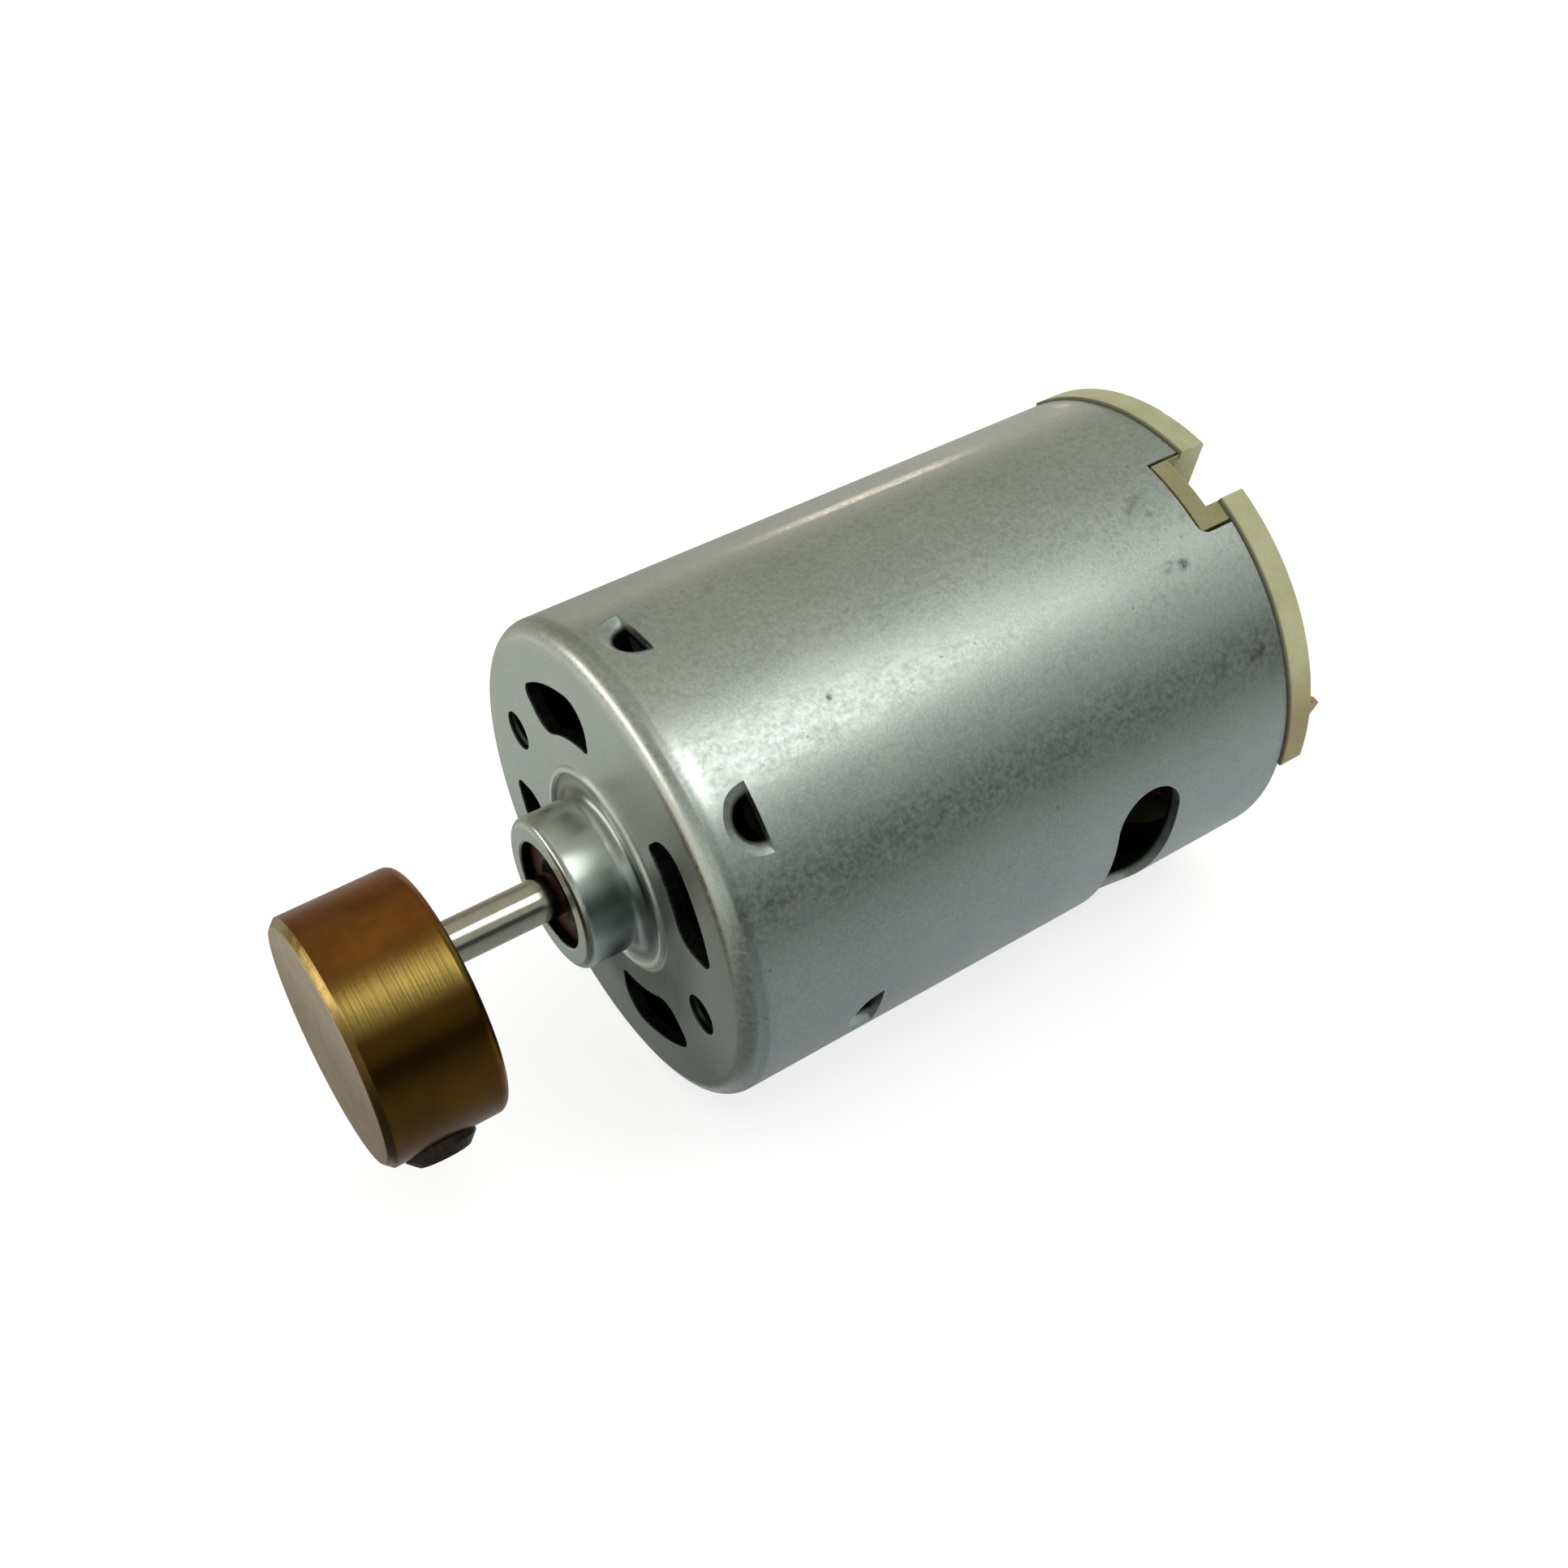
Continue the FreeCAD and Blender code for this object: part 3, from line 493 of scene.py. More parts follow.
def brass_painted_light(t, colour, angle, rim, stain, lines):
    """Painted light and shade in zones around the rim, by angle about the rim's own axis."""
    # painted highlight: yellower colour in the band where the overhead light falls
    highlight_band = angle.near(54.5, off=15.0, on=4.0) * rim
    # browner painted shade over the top of the rim
    brown = angle.band(rise=(54.0, 76.0), fall=(165.0, 178.0)) * rim
    colour = colour.blend(
        t.mix((0.33, 0.108, 0.019), (0.25, 0.078, 0.017), stain.fit(over=(0.38, 0.62))),
        brown * 0.88)
    # painted shade on the low side of the rim
    low = angle.near(-30.0, off=84.0, on=70.0) * rim
    colour = colour.blend(
        t.mix((0.175, 0.070, 0.009), (0.130, 0.054, 0.011), stain.fit(over=(0.38, 0.62))),
        low * 0.88)
    # painted shade in a dark band below the highlight
    dark = angle.near(34.0, off=14.0, on=5.0) * rim
    colour = colour.blend((0.060, 0.028, 0.005), dark * 0.55)
    # painted highlight colour in the band
    colour = colour.blend(
        t.mix((0.175, 0.118, 0.028), (0.305, 0.228, 0.066), lines.fit(over=(0.36, 0.62))),
        highlight_band * 0.85)
    # painted shade just above the highlight, narrowing it
    dim = angle.near(65.0, off=11.0, on=3.0) * rim
    return colour.blend((0.11, 0.070, 0.018), dim * 0.42)


def turned_brass(name):
    t = Surface(name)
    x, z = t.x - WEIGHT_X, t.z - WEIGHT_Z
    from_axis = t.hypot(x, z)
    radians = t.math("ARCTAN2", z, x)
    front = t.y.step(off=-21.92, on=-21.98)
    rear = t.y.step(off=-13.50, on=-13.42)
    flat = front.maximum(rear)
    # turning lines follow Y on the rim and the radius on the faces
    travel = t.y * (1.0 - flat) + from_axis * flat
    lines = t.noise(scale=1.0, detail=5.0, roughness=0.75,
                    at=t.vector(travel * 7.0, radians * 0.35, 0.0))
    coarse = t.noise(scale=1.0, detail=2.0, roughness=0.5,
                     at=t.vector(travel * 2.2, radians * 0.12, 3.0))
    feed = t.math("SINE", travel * (6.2832 / WEIGHT_FEED)) * 0.5
    stain = t.noise(scale=0.35, roughness=0.6)
    colour = t.mix((0.46, 0.262, 0.060), (0.37, 0.190, 0.040), stain.fit(over=(0.35, 0.68)))
    colour = colour.blend((0.20, 0.10, 0.022), lines.fit(out=(0.35, 0.0), over=(0.35, 0.52)))
    colour = colour.blend((0.72, 0.52, 0.21), lines.fit(out=(0.0, 0.40), over=(0.52, 0.70)))
    colour = colour.blend(brass_face(t, stain, z), front * 0.85)
    angle = radians * DEGREES
    colour = brass_painted_light(t, colour, angle, 1.0 - front, stain, lines)
    # cut edge at the front, with painted shade along it and a painted glint near the top
    edge = t.y.step(off=-21.45, on=-21.56) * t.y.step(off=-22.01, on=-21.94)
    edge = edge * from_axis.step(off=8.37, on=8.51)
    wear = t.noise(scale=1.6, detail=2.0, roughness=0.5)
    edge_glint = edge * wear.fit(out=(0.40, 0.70), over=(0.38, 0.6))
    edge_glint = edge_glint * angle.band(rise=(42.0, 66.0), fall=(116.0, 138.0))
    # painted shade along the cut edge
    colour = colour.blend((0.17, 0.090, 0.030), edge * 0.85)
    # painted glint on the top of the cut edge
    colour = colour.blend((0.66, 0.47, 0.165), edge_glint)
    height = lines * 0.0060 + coarse * 0.0050 + feed * 0.0012
    height = height + t.noise(scale=4.0, detail=2.0) * 0.0012
    chatter = t.noise(scale=1.0, detail=2.0, at=t.vector(travel * 2.5, radians * 26.0, 0.0))
    height = height + chatter * 0.0045
    return t.finish(colour, metallic=1.0, height=height,
                    roughness=lines.fit(out=(0.28, 0.20)) + front * 0.10)


def black_oxide(name):
    t = Surface(name)
    base = (0.030, 0.021, 0.017)
    cloud = t.noise(scale=2.5)
    colour = t.mix(base, tuple(c * 1.9 for c in base), cloud.fit())
    wear = t.noise(scale=6.0, roughness=0.7).step(off=0.60, on=0.68)
    colour = colour.blend((0.24, 0.21, 0.18), wear * 0.4)
    return t.finish(colour, metallic=0.9, roughness=cloud.fit(out=(0.34, 0.50)),
                    height=cloud * 0.010)


def sintered_bronze(name):
    t = Surface(name)
    cells = t.node("ShaderNodeTexVoronoi", {"Vector": t.position, "Scale": 5.0})
    pores = cells.output("Distance").step(off=0.26, on=0.12)
    colour = t.mix((0.080, 0.030, 0.022), (0.120, 0.052, 0.036), t.noise(scale=1.2).fit())
    colour = colour.blend((0.03, 0.016, 0.010), pores * 0.7)
    # darker and glossier round the shaft
    round_shaft = t.radius.step(off=2.9, on=2.1)
    colour = colour.blend((0.018, 0.013, 0.010), round_shaft * 0.85)
    return t.finish(colour, metallic=0.75, roughness=0.52 - round_shaft * 0.27, height=pores * -0.02)


def plain_metal(name, dark, light, roughness, grain, lines=0.0, depth=0.004):
    """Mottled metal; lines is the frequency along Y of optional drawn lines."""
    t = Surface(name)
    mottle = t.noise(scale=grain)
    colour = t.mix(dark, light, mottle.fit())
    height = mottle * depth
    if lines:
        drawn = t.noise(scale=1.0, at=t.vector(t.x * 0.4, t.y * lines, t.z * 0.4))
        height = height + drawn * depth
        colour = colour.blend(tuple(min(1.0, c * 1.3) for c in light),
                              drawn.fit(out=(0.0, 0.3), over=(0.45, 0.7)))
    return t.finish(colour, metallic=1.0, roughness=mottle.fit(out=roughness), height=height)


def dull(name, dark, light, roughness, grain, depth, metallic=0.0, speck=None):
    """Matt mottled material; speck is the colour of optional fine specks."""
    t = Surface(name)
    mottle = t.noise(scale=grain, detail=4.0, roughness=0.6)
    colour = t.mix(dark, light, mottle.fit())
    if speck:
        specks = t.noise(scale=grain * 5, detail=2.0).step(off=0.60, on=0.68)
        colour = colour.blend(speck, specks * 0.6)
    height = mottle * depth + t.noise(scale=grain * 5, detail=2.0) * (depth * 0.35)
    return t.finish(colour, metallic=metallic, roughness=mottle.fit(out=roughness),
                    height=height)


def laminations(name):
    t = Surface(name)
    sheets_per_mm = 2.0
    across_sheet = t.math("FRACT", t.y * sheets_per_mm)
    gap = (across_sheet.step(off=0.14, on=0.05)
           .maximum(across_sheet.step(off=0.86, on=0.95)))
    cloud = t.noise(scale=1.5)
    colour = t.mix((0.085, 0.080, 0.075), (0.15, 0.14, 0.13), cloud.fit())
    colour = colour.blend((0.02, 0.018, 0.016), gap * 0.8)
    return t.finish(colour, metallic=0.85, roughness=cloud.fit(out=(0.38, 0.55)),
                    height=gap * -0.04 + cloud * 0.006)


def enamel_wire(name):
    t = Surface(name)
    colour = t.mix((0.33, 0.085, 0.022), (0.45, 0.145, 0.040), t.noise(scale=0.8).fit())
    grain = t.noise(scale=7.0, detail=2.0)
    colour = colour.blend((0.20, 0.05, 0.015), grain.fit(out=(0.0, 0.4), over=(0.5, 0.7)))
    return t.finish(colour, metallic=0.75, roughness=grain.fit(out=(0.22, 0.34)),
                    height=grain * 0.004, extra={"Coat Weight": 0.6, "Coat Roughness": 0.15})


def commutator_copper(name):
    t = Surface(name)
    lines = t.noise(scale=1.0, detail=4.0, roughness=0.7,
                    at=t.vector(0.0, t.y * 9.0, t.angle * 0.01))
    brush_track = t.y.band(rise=(36.4, 36.7), fall=(39.7, 40.0))
    colour = t.mix((0.62, 0.27, 0.13), (0.74, 0.40, 0.22), lines.fit(over=(0.3, 0.7)))
    colour = colour.blend((0.16, 0.075, 0.045), brush_track * 0.6)
    return t.finish(colour, metallic=1.0, height=lines * 0.004,
                    roughness=lines.fit(out=(0.22, 0.36), over=(0.3, 0.7)))


# name, builder, settings
MATERIALS = (
    ("can_zinc", zinc_steel, {}),
    ("cap_nylon", nylon_ivory, {}),
    ("shaft_steel", ground_steel, {}),
    ("weight_brass", turned_brass, {}),
    ("screw_black", black_oxide, {}),
    ("bronze_sintered", sintered_bronze, {}),
    ("spring_steel", plain_metal, dict(
        dark=(0.40, 0.40, 0.41), light=(0.52, 0.52, 0.53), roughness=(0.22, 0.34), grain=2.5)),
    ("ferrite", dull, dict(
        dark=(0.020, 0.019, 0.019), light=(0.042, 0.040, 0.039), roughness=(0.42, 0.62),
        grain=0.9, depth=0.012, speck=(0.10, 0.10, 0.10))),
    ("brush_copper", plain_metal, dict(
        dark=(0.60, 0.30, 0.16), light=(0.70, 0.40, 0.23), roughness=(0.24, 0.38),
        grain=1.8, lines=5.0)),
    ("terminal_copper", plain_metal, dict(
        dark=(0.62, 0.34, 0.19), light=(0.74, 0.46, 0.29), roughness=(0.25, 0.40),
        grain=1.6, lines=5.0)),
    ("carbon", dull, dict(
        dark=(0.012, 0.012, 0.013), light=(0.028, 0.028, 0.030), roughness=(0.35, 0.55),
        grain=2.2, depth=0.010, metallic=0.3, speck=(0.09, 0.09, 0.10))),
    ("core_steel", laminations, {}),
    ("insulator", dull, dict(
        dark=(0.020, 0.045, 0.032), light=(0.035, 0.070, 0.050), roughness=(0.35, 0.5),
        grain=1.2, depth=0.008)),
    ("magnet_wire", enamel_wire, {}),
    ("moulding_black", dull, dict(
        dark=(0.012, 0.012, 0.012), light=(0.025, 0.024, 0.023), roughness=(0.4, 0.6),
        grain=2.0, depth=0.008)),
    ("commutator_copper", commutator_copper, {}),
    ("surge_ceramic", dull, dict(
        dark=(0.19, 0.075, 0.035), light=(0.26, 0.115, 0.060), roughness=(0.5, 0.65),
        grain=3.0, depth=0.010)),
    ("spacer_plastic", dull, dict(
        dark=(0.42, 0.42, 0.40), light=(0.52, 0.52, 0.50), roughness=(0.35, 0.5),
        grain=1.5, depth=0.006)),
    ("washer_fibre", dull, dict(
        dark=(0.20, 0.10, 0.045), light=(0.30, 0.165, 0.080), roughness=(0.6, 0.8),
        grain=3.5, depth=0.016, speck=(0.40, 0.26, 0.15))),
    ("solder", plain_metal, dict(
        dark=(0.55, 0.55, 0.56), light=(0.66, 0.66, 0.67), roughness=(0.16, 0.3),
        grain=1.5, depth=0.01)),
)
materials = {name: build(name, **settings) for name, build, settings in MATERIALS}

for part in frame["record"]["subparts"]:
    piece = frame["nodes"][part["node"]]
    piece.data.materials.clear()
    piece.data.materials.append(materials[part["material_slot"]])


# ---------------------------------------------------------------------------
# mesh helpers
# ---------------------------------------------------------------------------
def make(name, verts, faces, slot, body, smooth=True):
    """Makes an object from points in millimetres and fixes it to the rotor or stator."""
    mesh = bpy.data.meshes.new(name)
    mesh.from_pydata([tuple(c * MM for c in vert) for vert in verts], [], faces)
    mesh.update()
    mesh.validate()
    if smooth:
        mesh.polygons.foreach_set("use_smooth", [True] * len(mesh.polygons))
    piece = bpy.data.objects.new(name, mesh)
    scene.collection.objects.link(piece)
    mesh.materials.append(materials[slot])
    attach(piece, body)
    return piece


def turned(point, degrees):
    """Turns (u, y, w) about the shaft so that u points outwards at the given angle."""
    angle = math.radians(degrees)
    u, y, w = point
    return np.array([u * math.cos(angle) - w * math.sin(angle), y,
                     u * math.sin(angle) + w * math.cos(angle)])


def sweep(path, radius, closed, verts, faces, sides=8):
    """Adds a round wire along a list of points."""
    count = len(path)
    base = len(verts)
    across = None
    for i in range(count):
        before = path[i - 1] if closed or i > 0 else path[i]
        after = path[(i + 1) % count] if closed or i < count - 1 else path[i]
        along = after - before
        along = along / np.linalg.norm(along)
        if across is None:
            across = np.cross(along, np.array([0.3, 0.2, 0.93]))
        # carry the last ring's direction on, so that the wire does not twist
        across = across - along * (across @ along)
        across = across / np.linalg.norm(across)
        side = np.cross(along, across)
        for k in range(sides):
            turn = 2 * math.pi * k / sides
            offset = math.cos(turn) * across + math.sin(turn) * side
            verts.append(tuple(path[i] + radius * offset))
    for i in range(count - 1):
        ring = base + i * sides
        following = ring + sides
        for k in range(sides):
            k2 = (k + 1) % sides
            faces.append((ring + k, following + k, following + k2, ring + k2))
    last = base + (count - 1) * sides
    if closed:
        # the last ring is matched to the first with the smallest twist
        start = np.array(verts[base])
        gaps = [np.linalg.norm(np.array(v) - start) for v in verts[last:last + sides]]
        shift = int(np.argmin(gaps))
        for k in range(sides):
            k2 = (k + 1) % sides
            faces.append((last + (k + shift) % sides, base + k,
                          base + k2, last + (k2 + shift) % sides))
    else:
        faces.append(tuple(base + k for k in range(sides))[::-1])
        faces.append(tuple(last + k for k in range(sides)))


# ---------------------------------------------------------------------------
# windings: closed loops of wire, layer on layer round each tooth
# ---------------------------------------------------------------------------
WIRE_RADIUS = 0.195
COIL_HALF_WIDTH = 2.78         # inside of the coil, either side of the tooth
COIL_Y = (6.42, 30.58)         # inside of the coil, front and rear
COIL_LAYERS = 6
LAYER_WIDTH_STEP = 0.36
LAYER_END_STEP = 0.40
FIRST_LOOP = 4.95              # distance of the first loop from the shaft axis
ODD_LAYER_SHIFT = 0.2
LOOP_PITCH = 0.405
COIL_LIMIT = 9.2               # largest radius from the shaft the wire may reach
# side (sign of w), end (+1 rear, -1 front), angle at which the rounded corner starts
LOOP_CORNERS = ((1, 1, 0), (-1, 1, 90), (-1, -1, 180), (1, -1, 270))


def wire_loop(height, half_width, front, rear, corner_radius, jitter):
    """One loop as (u, y, w) points at the given height along the tooth."""
    loop = []
    for i, (side, end, start) in enumerate(LOOP_CORNERS):
        centre_y = rear - corner_radius if end > 0 else front + corner_radius
        centre_w = side * (half_width - corner_radius)
        for k in range(5):
            angle = math.radians(start + 22.5 * k)
            loop.append(np.array([height + jitter[i] + 0.02 * math.sin(3 * angle),
                                  centre_y + corner_radius * math.sin(angle),
                                  centre_w + corner_radius * math.cos(angle)]))
    # a middle point across the rear end and one on the -w side let the wire bow a little
    loop.insert(5, (loop[4] + loop[5]) / 2 + np.array([jitter[4], 0.0, 0.0]))
    loop.insert(11, (loop[10] + loop[11]) / 2 + np.array([jitter[5], 0.0, 0.0]))
    return loop


def winding(number, tooth):
    rng = random.Random(10 + number)
    verts, faces = [], []
    for layer in range(COIL_LAYERS):
        half_width = COIL_HALF_WIDTH + WIRE_RADIUS + layer * LAYER_WIDTH_STEP
        front = COIL_Y[0] - WIRE_RADIUS - layer * LAYER_END_STEP
        rear = COIL_Y[1] + WIRE_RADIUS + layer * LAYER_END_STEP
        height = FIRST_LOOP + (ODD_LAYER_SHIFT if layer % 2 else 0.0)
        while math.hypot(height + WIRE_RADIUS, half_width + WIRE_RADIUS) < COIL_LIMIT:
            # eight draws a loop, of which the first six are used
            jitter = [rng.uniform(-0.035, 0.035) for _ in range(8)]
            loop = wire_loop(height, half_width, front, rear,
                             corner_radius=0.9 + 0.25 * layer, jitter=jitter)
            sweep([turned(point, tooth) for point in loop], WIRE_RADIUS, True, verts, faces)
            height += LOOP_PITCH
    piece = make("winding_%d" % number, verts, faces, "magnet_wire", "rotor")
    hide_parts("coil_%d" % number)


for number, tooth in enumerate(TOOTH_ANGLES, start=1):
    winding(number, tooth)


# ---------------------------------------------------------------------------
# leads from the coil ends to the commutator hooks, and their solder beads
# ---------------------------------------------------------------------------
LEAD_RADIUS = 0.17
# (u, y, w) from the coil, w on the lead's side; then at the hook, w on the opposite side
LEAD_AT_COIL = ((6.6, 32.4, 2.2), (6.9, 33.2, 3.6), (6.2, 33.85, 4.4))
LEAD_AT_HOOK = ((4.95, 33.98, 0.75), (4.75, 34.0, 0.1))
BEAD_CENTRE = (5.0, 34.1, 0.0)         # (u, y, w) at the hook
BEAD_RADII = (0.62, 0.48, 0.82)        # along u, y and w
BEAD_RINGS, BEAD_SEGMENTS = 10, 18


def smoothed(path, steps=6):
    """Catmull-Rom curve through the points."""
    curve = []
    for i in range(len(path) - 1):
        p0, p1, p2 = path[max(i - 1, 0)], path[i], path[i + 1]
        p3 = path[min(i + 2, len(path) - 1)]
        for k in range(steps):
            s = k / steps
            curve.append(0.5 * ((2 * p1) + (-p0 + p2) * s
                                + (2 * p0 - 5 * p1 + 4 * p2 - p3) * s * s
                                + (-p0 + 3 * p1 - 3 * p2 + p3) * s ** 3))
    curve.append(path[-1])
    return curve


def leads(number, tooth):
    verts, faces = [], []
    for side in (-1, 1):
        path = [turned((u, y, side * w), tooth) for u, y, w in LEAD_AT_COIL]
        path += [turned((u, y, -side * w), tooth + side * HOOK_OFFSET)
                 for u, y, w in LEAD_AT_HOOK]
        sweep(smoothed(path), LEAD_RADIUS, False, verts, faces)
    make("leads_%d" % number, verts, faces, "magnet_wire", "rotor")


def solder_bead(number, hook):
    """Slightly three-lobed ellipsoid."""
    verts, faces = [], []
    centre = turned(BEAD_CENTRE, hook)
    radius_u, radius_y, radius_w = BEAD_RADII
    for i in range(BEAD_RINGS + 1):
        polar = math.pi * i / BEAD_RINGS
        for k in range(BEAD_SEGMENTS):
            turn = 2 * math.pi * k / BEAD_SEGMENTS
            lump = 1 + 0.10 * math.sin(3 * turn + number - 1) * math.sin(polar)
            offset = (radius_u * math.sin(polar) * math.cos(turn) * lump,
                      -radius_y * math.cos(polar),
                      radius_w * math.sin(polar) * math.sin(turn) * lump)
            verts.append(tuple(centre + turned(offset, hook)))
    for i in range(BEAD_RINGS):
        ring, following = i * BEAD_SEGMENTS, (i + 1) * BEAD_SEGMENTS
        for k in range(BEAD_SEGMENTS):
            k2 = (k + 1) % BEAD_SEGMENTS
            if i == 0:
                faces.append((ring + k, following + k, following + k2))
            elif i == BEAD_RINGS - 1:
                faces.append((ring + k, following + k, ring + k2))
            else:
                faces.append((ring + k, following + k, following + k2, ring + k2))
    # belongs to the commutator's slot but looks like solder
    bead = make("solder_%d" % number, verts, faces, "commutator_copper", "rotor")
    bead.data.materials[0] = materials["solder"]


for number, tooth in enumerate(TOOTH_ANGLES, start=1):
    leads(number, tooth)
for number, tooth in enumerate(TOOTH_ANGLES, start=1):
    solder_bead(number, (tooth + HOOK_OFFSET) % 360)


# ---------------------------------------------------------------------------
# screw threads in the two holes of the front plate
# ---------------------------------------------------------------------------
HOLE_ANGLES = (-22.0, 158.0)
HOLE_CIRCLE = 12.5             # distance of the holes from the shaft axis
THREAD_RADIUS = 1.505
THREAD_DEPTH = 0.255
THREAD_PITCH = 0.5
THREAD_TURNS = 3.6
THREAD_START_Y = 0.22
THREAD_STEPS = 36              # sections per turn
THREAD_RUN_IN = 9              # sections over which the ridge grows at either end
ROOT_HALF_WIDTH, CREST_HALF_WIDTH = 0.20, 0.035


def screw_thread(number, hole):
    angle = math.radians(hole)
    centre_x, centre_z = HOLE_CIRCLE * math.cos(angle), HOLE_CIRCLE * math.sin(angle)
    verts, faces = [], []
    count = int(THREAD_TURNS * THREAD_STEPS)
    for i in range(count + 1):
        turn = 2 * math.pi * i / THREAD_STEPS
        y = THREAD_START_Y + THREAD_PITCH * i / THREAD_STEPS
        grow = min(1.0, i / THREAD_RUN_IN, (count - i) / THREAD_RUN_IN)
        crest = THREAD_RADIUS - THREAD_DEPTH * max(grow, 0.02)
        for radius, offset in ((THREAD_RADIUS, -ROOT_HALF_WIDTH), (crest, -CREST_HALF_WIDTH),
                               (crest, CREST_HALF_WIDTH), (THREAD_RADIUS, ROOT_HALF_WIDTH)):
            verts.append((centre_x + radius * math.cos(turn), y + offset,
                          centre_z + radius * math.sin(turn)))
    for i in range(count):
        section, following = 4 * i, 4 * (i + 1)
        for k in range(4):
            k2 = (k + 1) % 4
            faces.append((section + k, following + k, following + k2, section + k2))
    faces.append((3, 2, 1, 0))
    faces.append(tuple(4 * count + k for k in range(4)))
    make("screw_thread_%d" % number, verts, faces, "can_zinc", "stator", smooth=False)


for number, hole in enumerate(HOLE_ANGLES, start=1):
    screw_thread(number, hole)


# ---------------------------------------------------------------------------
# floor, in metres
# ---------------------------------------------------------------------------
FLOOR_HALF_SIZE = 4.0
FLOOR_GAP = 0.00002            # below the lowest point of the motor
FLOOR_SHADER = {
    "Roughness": 0.9,
    "Specular IOR Level": 0.1,
    "Emission Color": (1.0, 1.0, 1.0, 1),
    "Emission Strength": 0.70,
    "Base Color": (0.50, 0.50, 0.50, 1),
}


def build_floor():
    size, z = FLOOR_HALF_SIZE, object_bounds()[0].z - FLOOR_GAP
    mesh = bpy.data.meshes.new("floor")
    mesh.from_pydata([(-size, -size, z), (size, -size, z), (size, size, z), (-size, size, z)],
                     [], [(0, 1, 2, 3)])
    floor = bpy.data.objects.new("floor", mesh)
    scene.collection.objects.link(floor)
    material = bpy.data.materials.new("floor_pale")
    material.use_nodes = True
    shader = material.node_tree.nodes["Principled BSDF"]
    for key, value in FLOOR_SHADER.items():
        shader.inputs[key].default_value = value
    mesh.materials.append(material)
    floor.visible_glossy = False


build_floor()


# ---------------------------------------------------------------------------
# world
# ---------------------------------------------------------------------------
# colour stops by height: 0 straight down, 0.5 the horizon, 1 straight up
ROOM_RIGHT = (                 # reflected from +X
    (0.0, (0.29, 0.315, 0.325)), (0.18, (0.265, 0.290, 0.292)),
    (0.34, (0.21, 0.230, 0.222)), (0.46, (0.060, 0.066, 0.061)),
    (0.58, (0.055, 0.060, 0.055)), (0.69, (0.34, 0.380, 0.345)),
    (0.85, (0.32, 0.350, 0.315)), (1.0, (0.38, 0.390, 0.330)),
)
ROOM_LEFT = (                  # reflected from -X
    (0.0, (0.48, 0.48, 0.45)), (0.42, (0.42, 0.40, 0.34)), (0.54, (0.33, 0.310, 0.25)),
    (0.70, (0.225, 0.220, 0.168)), (0.86, (0.335, 0.330, 0.255)), (1.0, (0.42, 0.415, 0.335)),
)
ROOM_FRONT = (                 # reflected from -Y
    (0.0, (0.10, 0.11, 0.10)), (0.10, (0.14, 0.155, 0.14)), (0.16, (0.38, 0.42, 0.37)),
    (0.23, (0.62, 0.66, 0.60)), (0.36, (0.58, 0.61, 0.55)), (0.55, (0.30, 0.31, 0.27)),
    (1.0, (0.22, 0.23, 0.20)),
)
DIFFUSE_LIGHT = (              # light on the dull pieces and the floor
    (0.0, (0.42, 0.42, 0.42)), (0.5, (0.62, 0.62, 0.61)), (1.0, (0.80, 0.80, 0.79)),
)


def ramp(graph, value, stops):
    colours = graph.node("ShaderNodeValToRGB", {0: value})
    color_ramp = colours.socket.node.color_ramp
    color_ramp.interpolation = "EASE"
    elements = color_ramp.elements
    while len(elements) < len(stops):
        elements.new(0.5)
    for i, (position, colour) in enumerate(stops):
        elements[i].position = position
        elements[i].color = (*colour, 1.0)
    return colours


def reflected_room(graph, x, y, up):
    """What the metal reflects."""
    left = ((0.1 - x) * 0.9).clamped()
    room = ramp(graph, up, ROOM_RIGHT).blend(ramp(graph, up, ROOM_LEFT), left)
    # towards +Y the low half gets brighter and the high half a little darker
    slope = 2.7 - ((up - 0.45) / 0.35).clamped() * 3.2
    brightness = 1.0 + (y - 0.38) * slope
    brightness = graph.math("MINIMUM", brightness.maximum(0.95), 1.55)
    room = graph.node("ShaderNodeVectorMath", {0: room, "Scale": brightness},
                      operation="SCALE")
    # in front the stops are shifted up the ramp towards -X
    front = ramp(graph, up + (x + 0.65) * -0.25, ROOM_FRONT)
    return room.blend(front, ((-0.17 - y) * 6.0).clamped())


def build_world():
    world = bpy.data.worlds.new("studio")
    scene.world = world
    world.use_nodes = True
    graph = Graph(world.node_tree)

    def background(colour, strength=1.0):
        return graph.node("ShaderNodeBackground", {0: colour, 1: strength})

    x, y, z = graph.split(graph.node("ShaderNodeTexCoord").output("Generated"))
    up = (z * 0.5 + 0.5).clamped()
    glossy = background(reflected_room(graph, x, y, up))
    diffuse = background(ramp(graph, up, DIFFUSE_LIGHT))
    backdrop = background((1.0, 1.0, 1.0), strength=1.08)
    rays = graph.node("ShaderNodeLightPath")
    shader = graph.node("ShaderNodeMixShader",
                        {0: rays.output("Is Camera Ray"), 1: diffuse, 2: backdrop})
    shader = graph.node("ShaderNodeMixShader",
                        {0: rays.output("Is Glossy Ray"), 1: shader, 2: glossy})
    graph.node("ShaderNodeOutputWorld", {0: shader})


build_world()


# ---------------------------------------------------------------------------
# lights, in metres and watts
# ---------------------------------------------------------------------------
LIGHT_TARGET = (0.0, 0.018, 0.0)
LIGHT_DISTANCE = 0.60


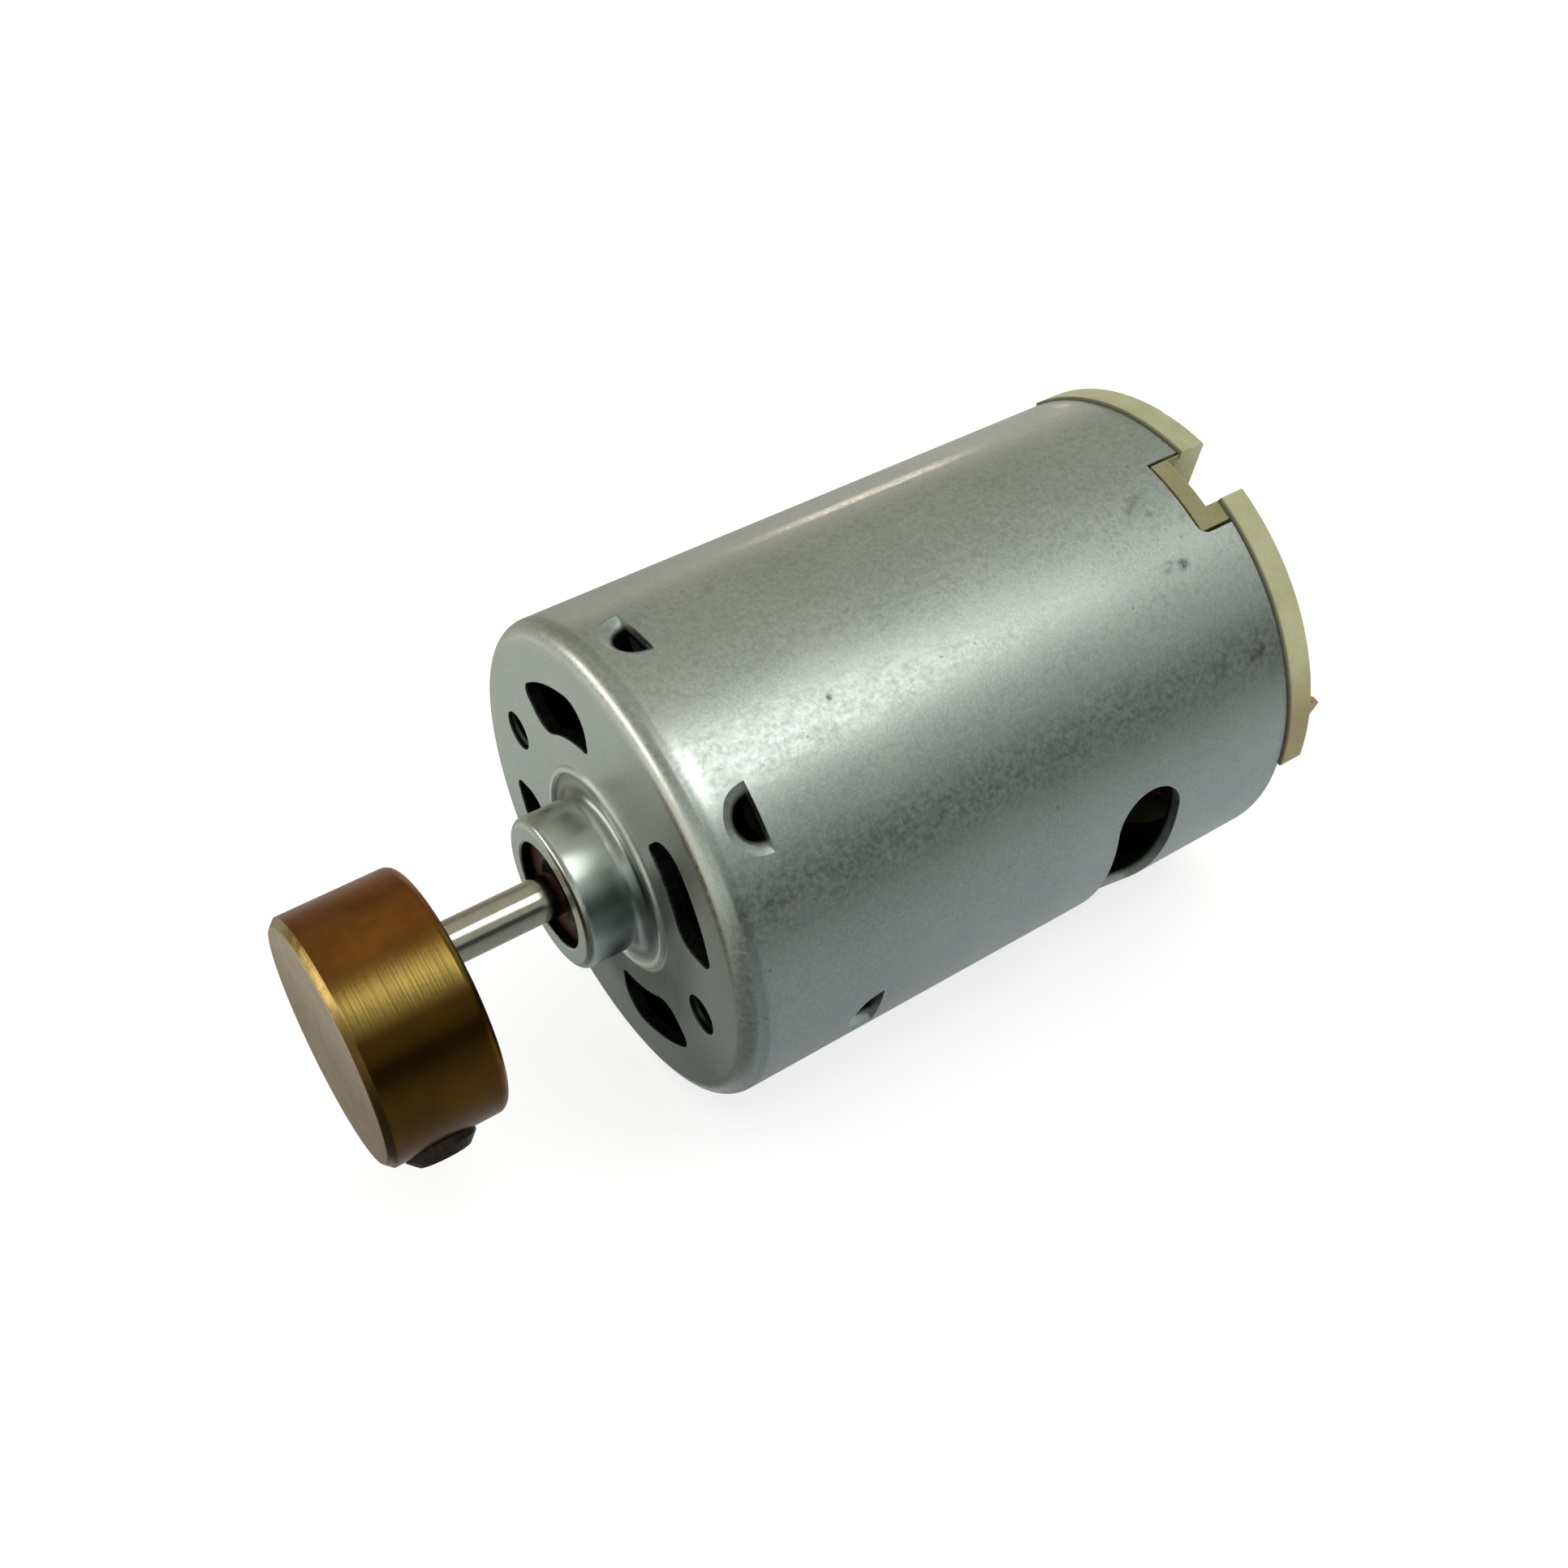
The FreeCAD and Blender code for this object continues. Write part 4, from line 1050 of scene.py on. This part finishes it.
def softbox(name, direction, size, power, color):
    """Rectangular lamp in the given direction from the motor, facing it."""
    away = Vector(direction).normalized()
    lamp = bpy.data.lights.new(name, "AREA")
    lamp.shape = "RECTANGLE"
    lamp.size, lamp.size_y = size
    lamp.energy = power
    lamp.color = color
    holder = bpy.data.objects.new(name, lamp)
    holder.location = Vector(LIGHT_TARGET) + away * LIGHT_DISTANCE
    holder.rotation_mode = "QUATERNION"
    holder.rotation_quaternion = away.to_track_quat("Z", "Y")
    scene.collection.objects.link(holder)


# overhead: the broad highlight along the can
softbox("key_window", direction=(0.38, 0.27, 0.84), size=(0.25, 0.33), power=0.53,
        color=(0.97, 1.0, 0.97))
# narrow and low at -X, +Y: the thin line along the top of the can
softbox("rim_strip", direction=(-0.88, 0.54, 0.14), size=(0.40, 0.05), power=0.062,
        color=(1.0, 0.95, 0.88))
# long, in front: the front corner of the can and the cut edge of the weight
softbox("front_window", direction=(-0.42, -0.84, 0.34), size=(0.62, 0.14), power=0.62,
        color=(1.0, 0.98, 0.92))


# ---------------------------------------------------------------------------
# camera and colour management
# ---------------------------------------------------------------------------
CAMERA_PLACE = (85.767, -36.915, 86.618)
CAMERA_FORWARD = (-0.64728, 0.38965, -0.65513)
CAMERA_RIGHT = (0.55622, 0.82912, -0.05642)


def build_camera():
    data = bpy.data.cameras.new("camera")
    camera = bpy.data.objects.new("camera", data)
    scene.collection.objects.link(camera)
    place = Vector(CAMERA_PLACE) * MM
    forward = Vector(CAMERA_FORWARD).normalized()
    up = Vector(CAMERA_RIGHT).normalized().cross(forward).normalized()
    right = forward.cross(up).normalized()
    rows = zip(right, up, -forward, place)
    camera.matrix_world = Matrix((*rows, (0, 0, 0, 1)))
    data.sensor_width = 36.0
    data.sensor_fit = "HORIZONTAL"
    data.lens = 42.2287
    data.clip_start, data.clip_end = 0.002, 20.0
    scene.camera = camera


build_camera()

scene.view_settings.view_transform = "Standard"
scene.view_settings.look = "None"
scene.view_settings.exposure = 0.0
scene.view_settings.gamma = 1.0
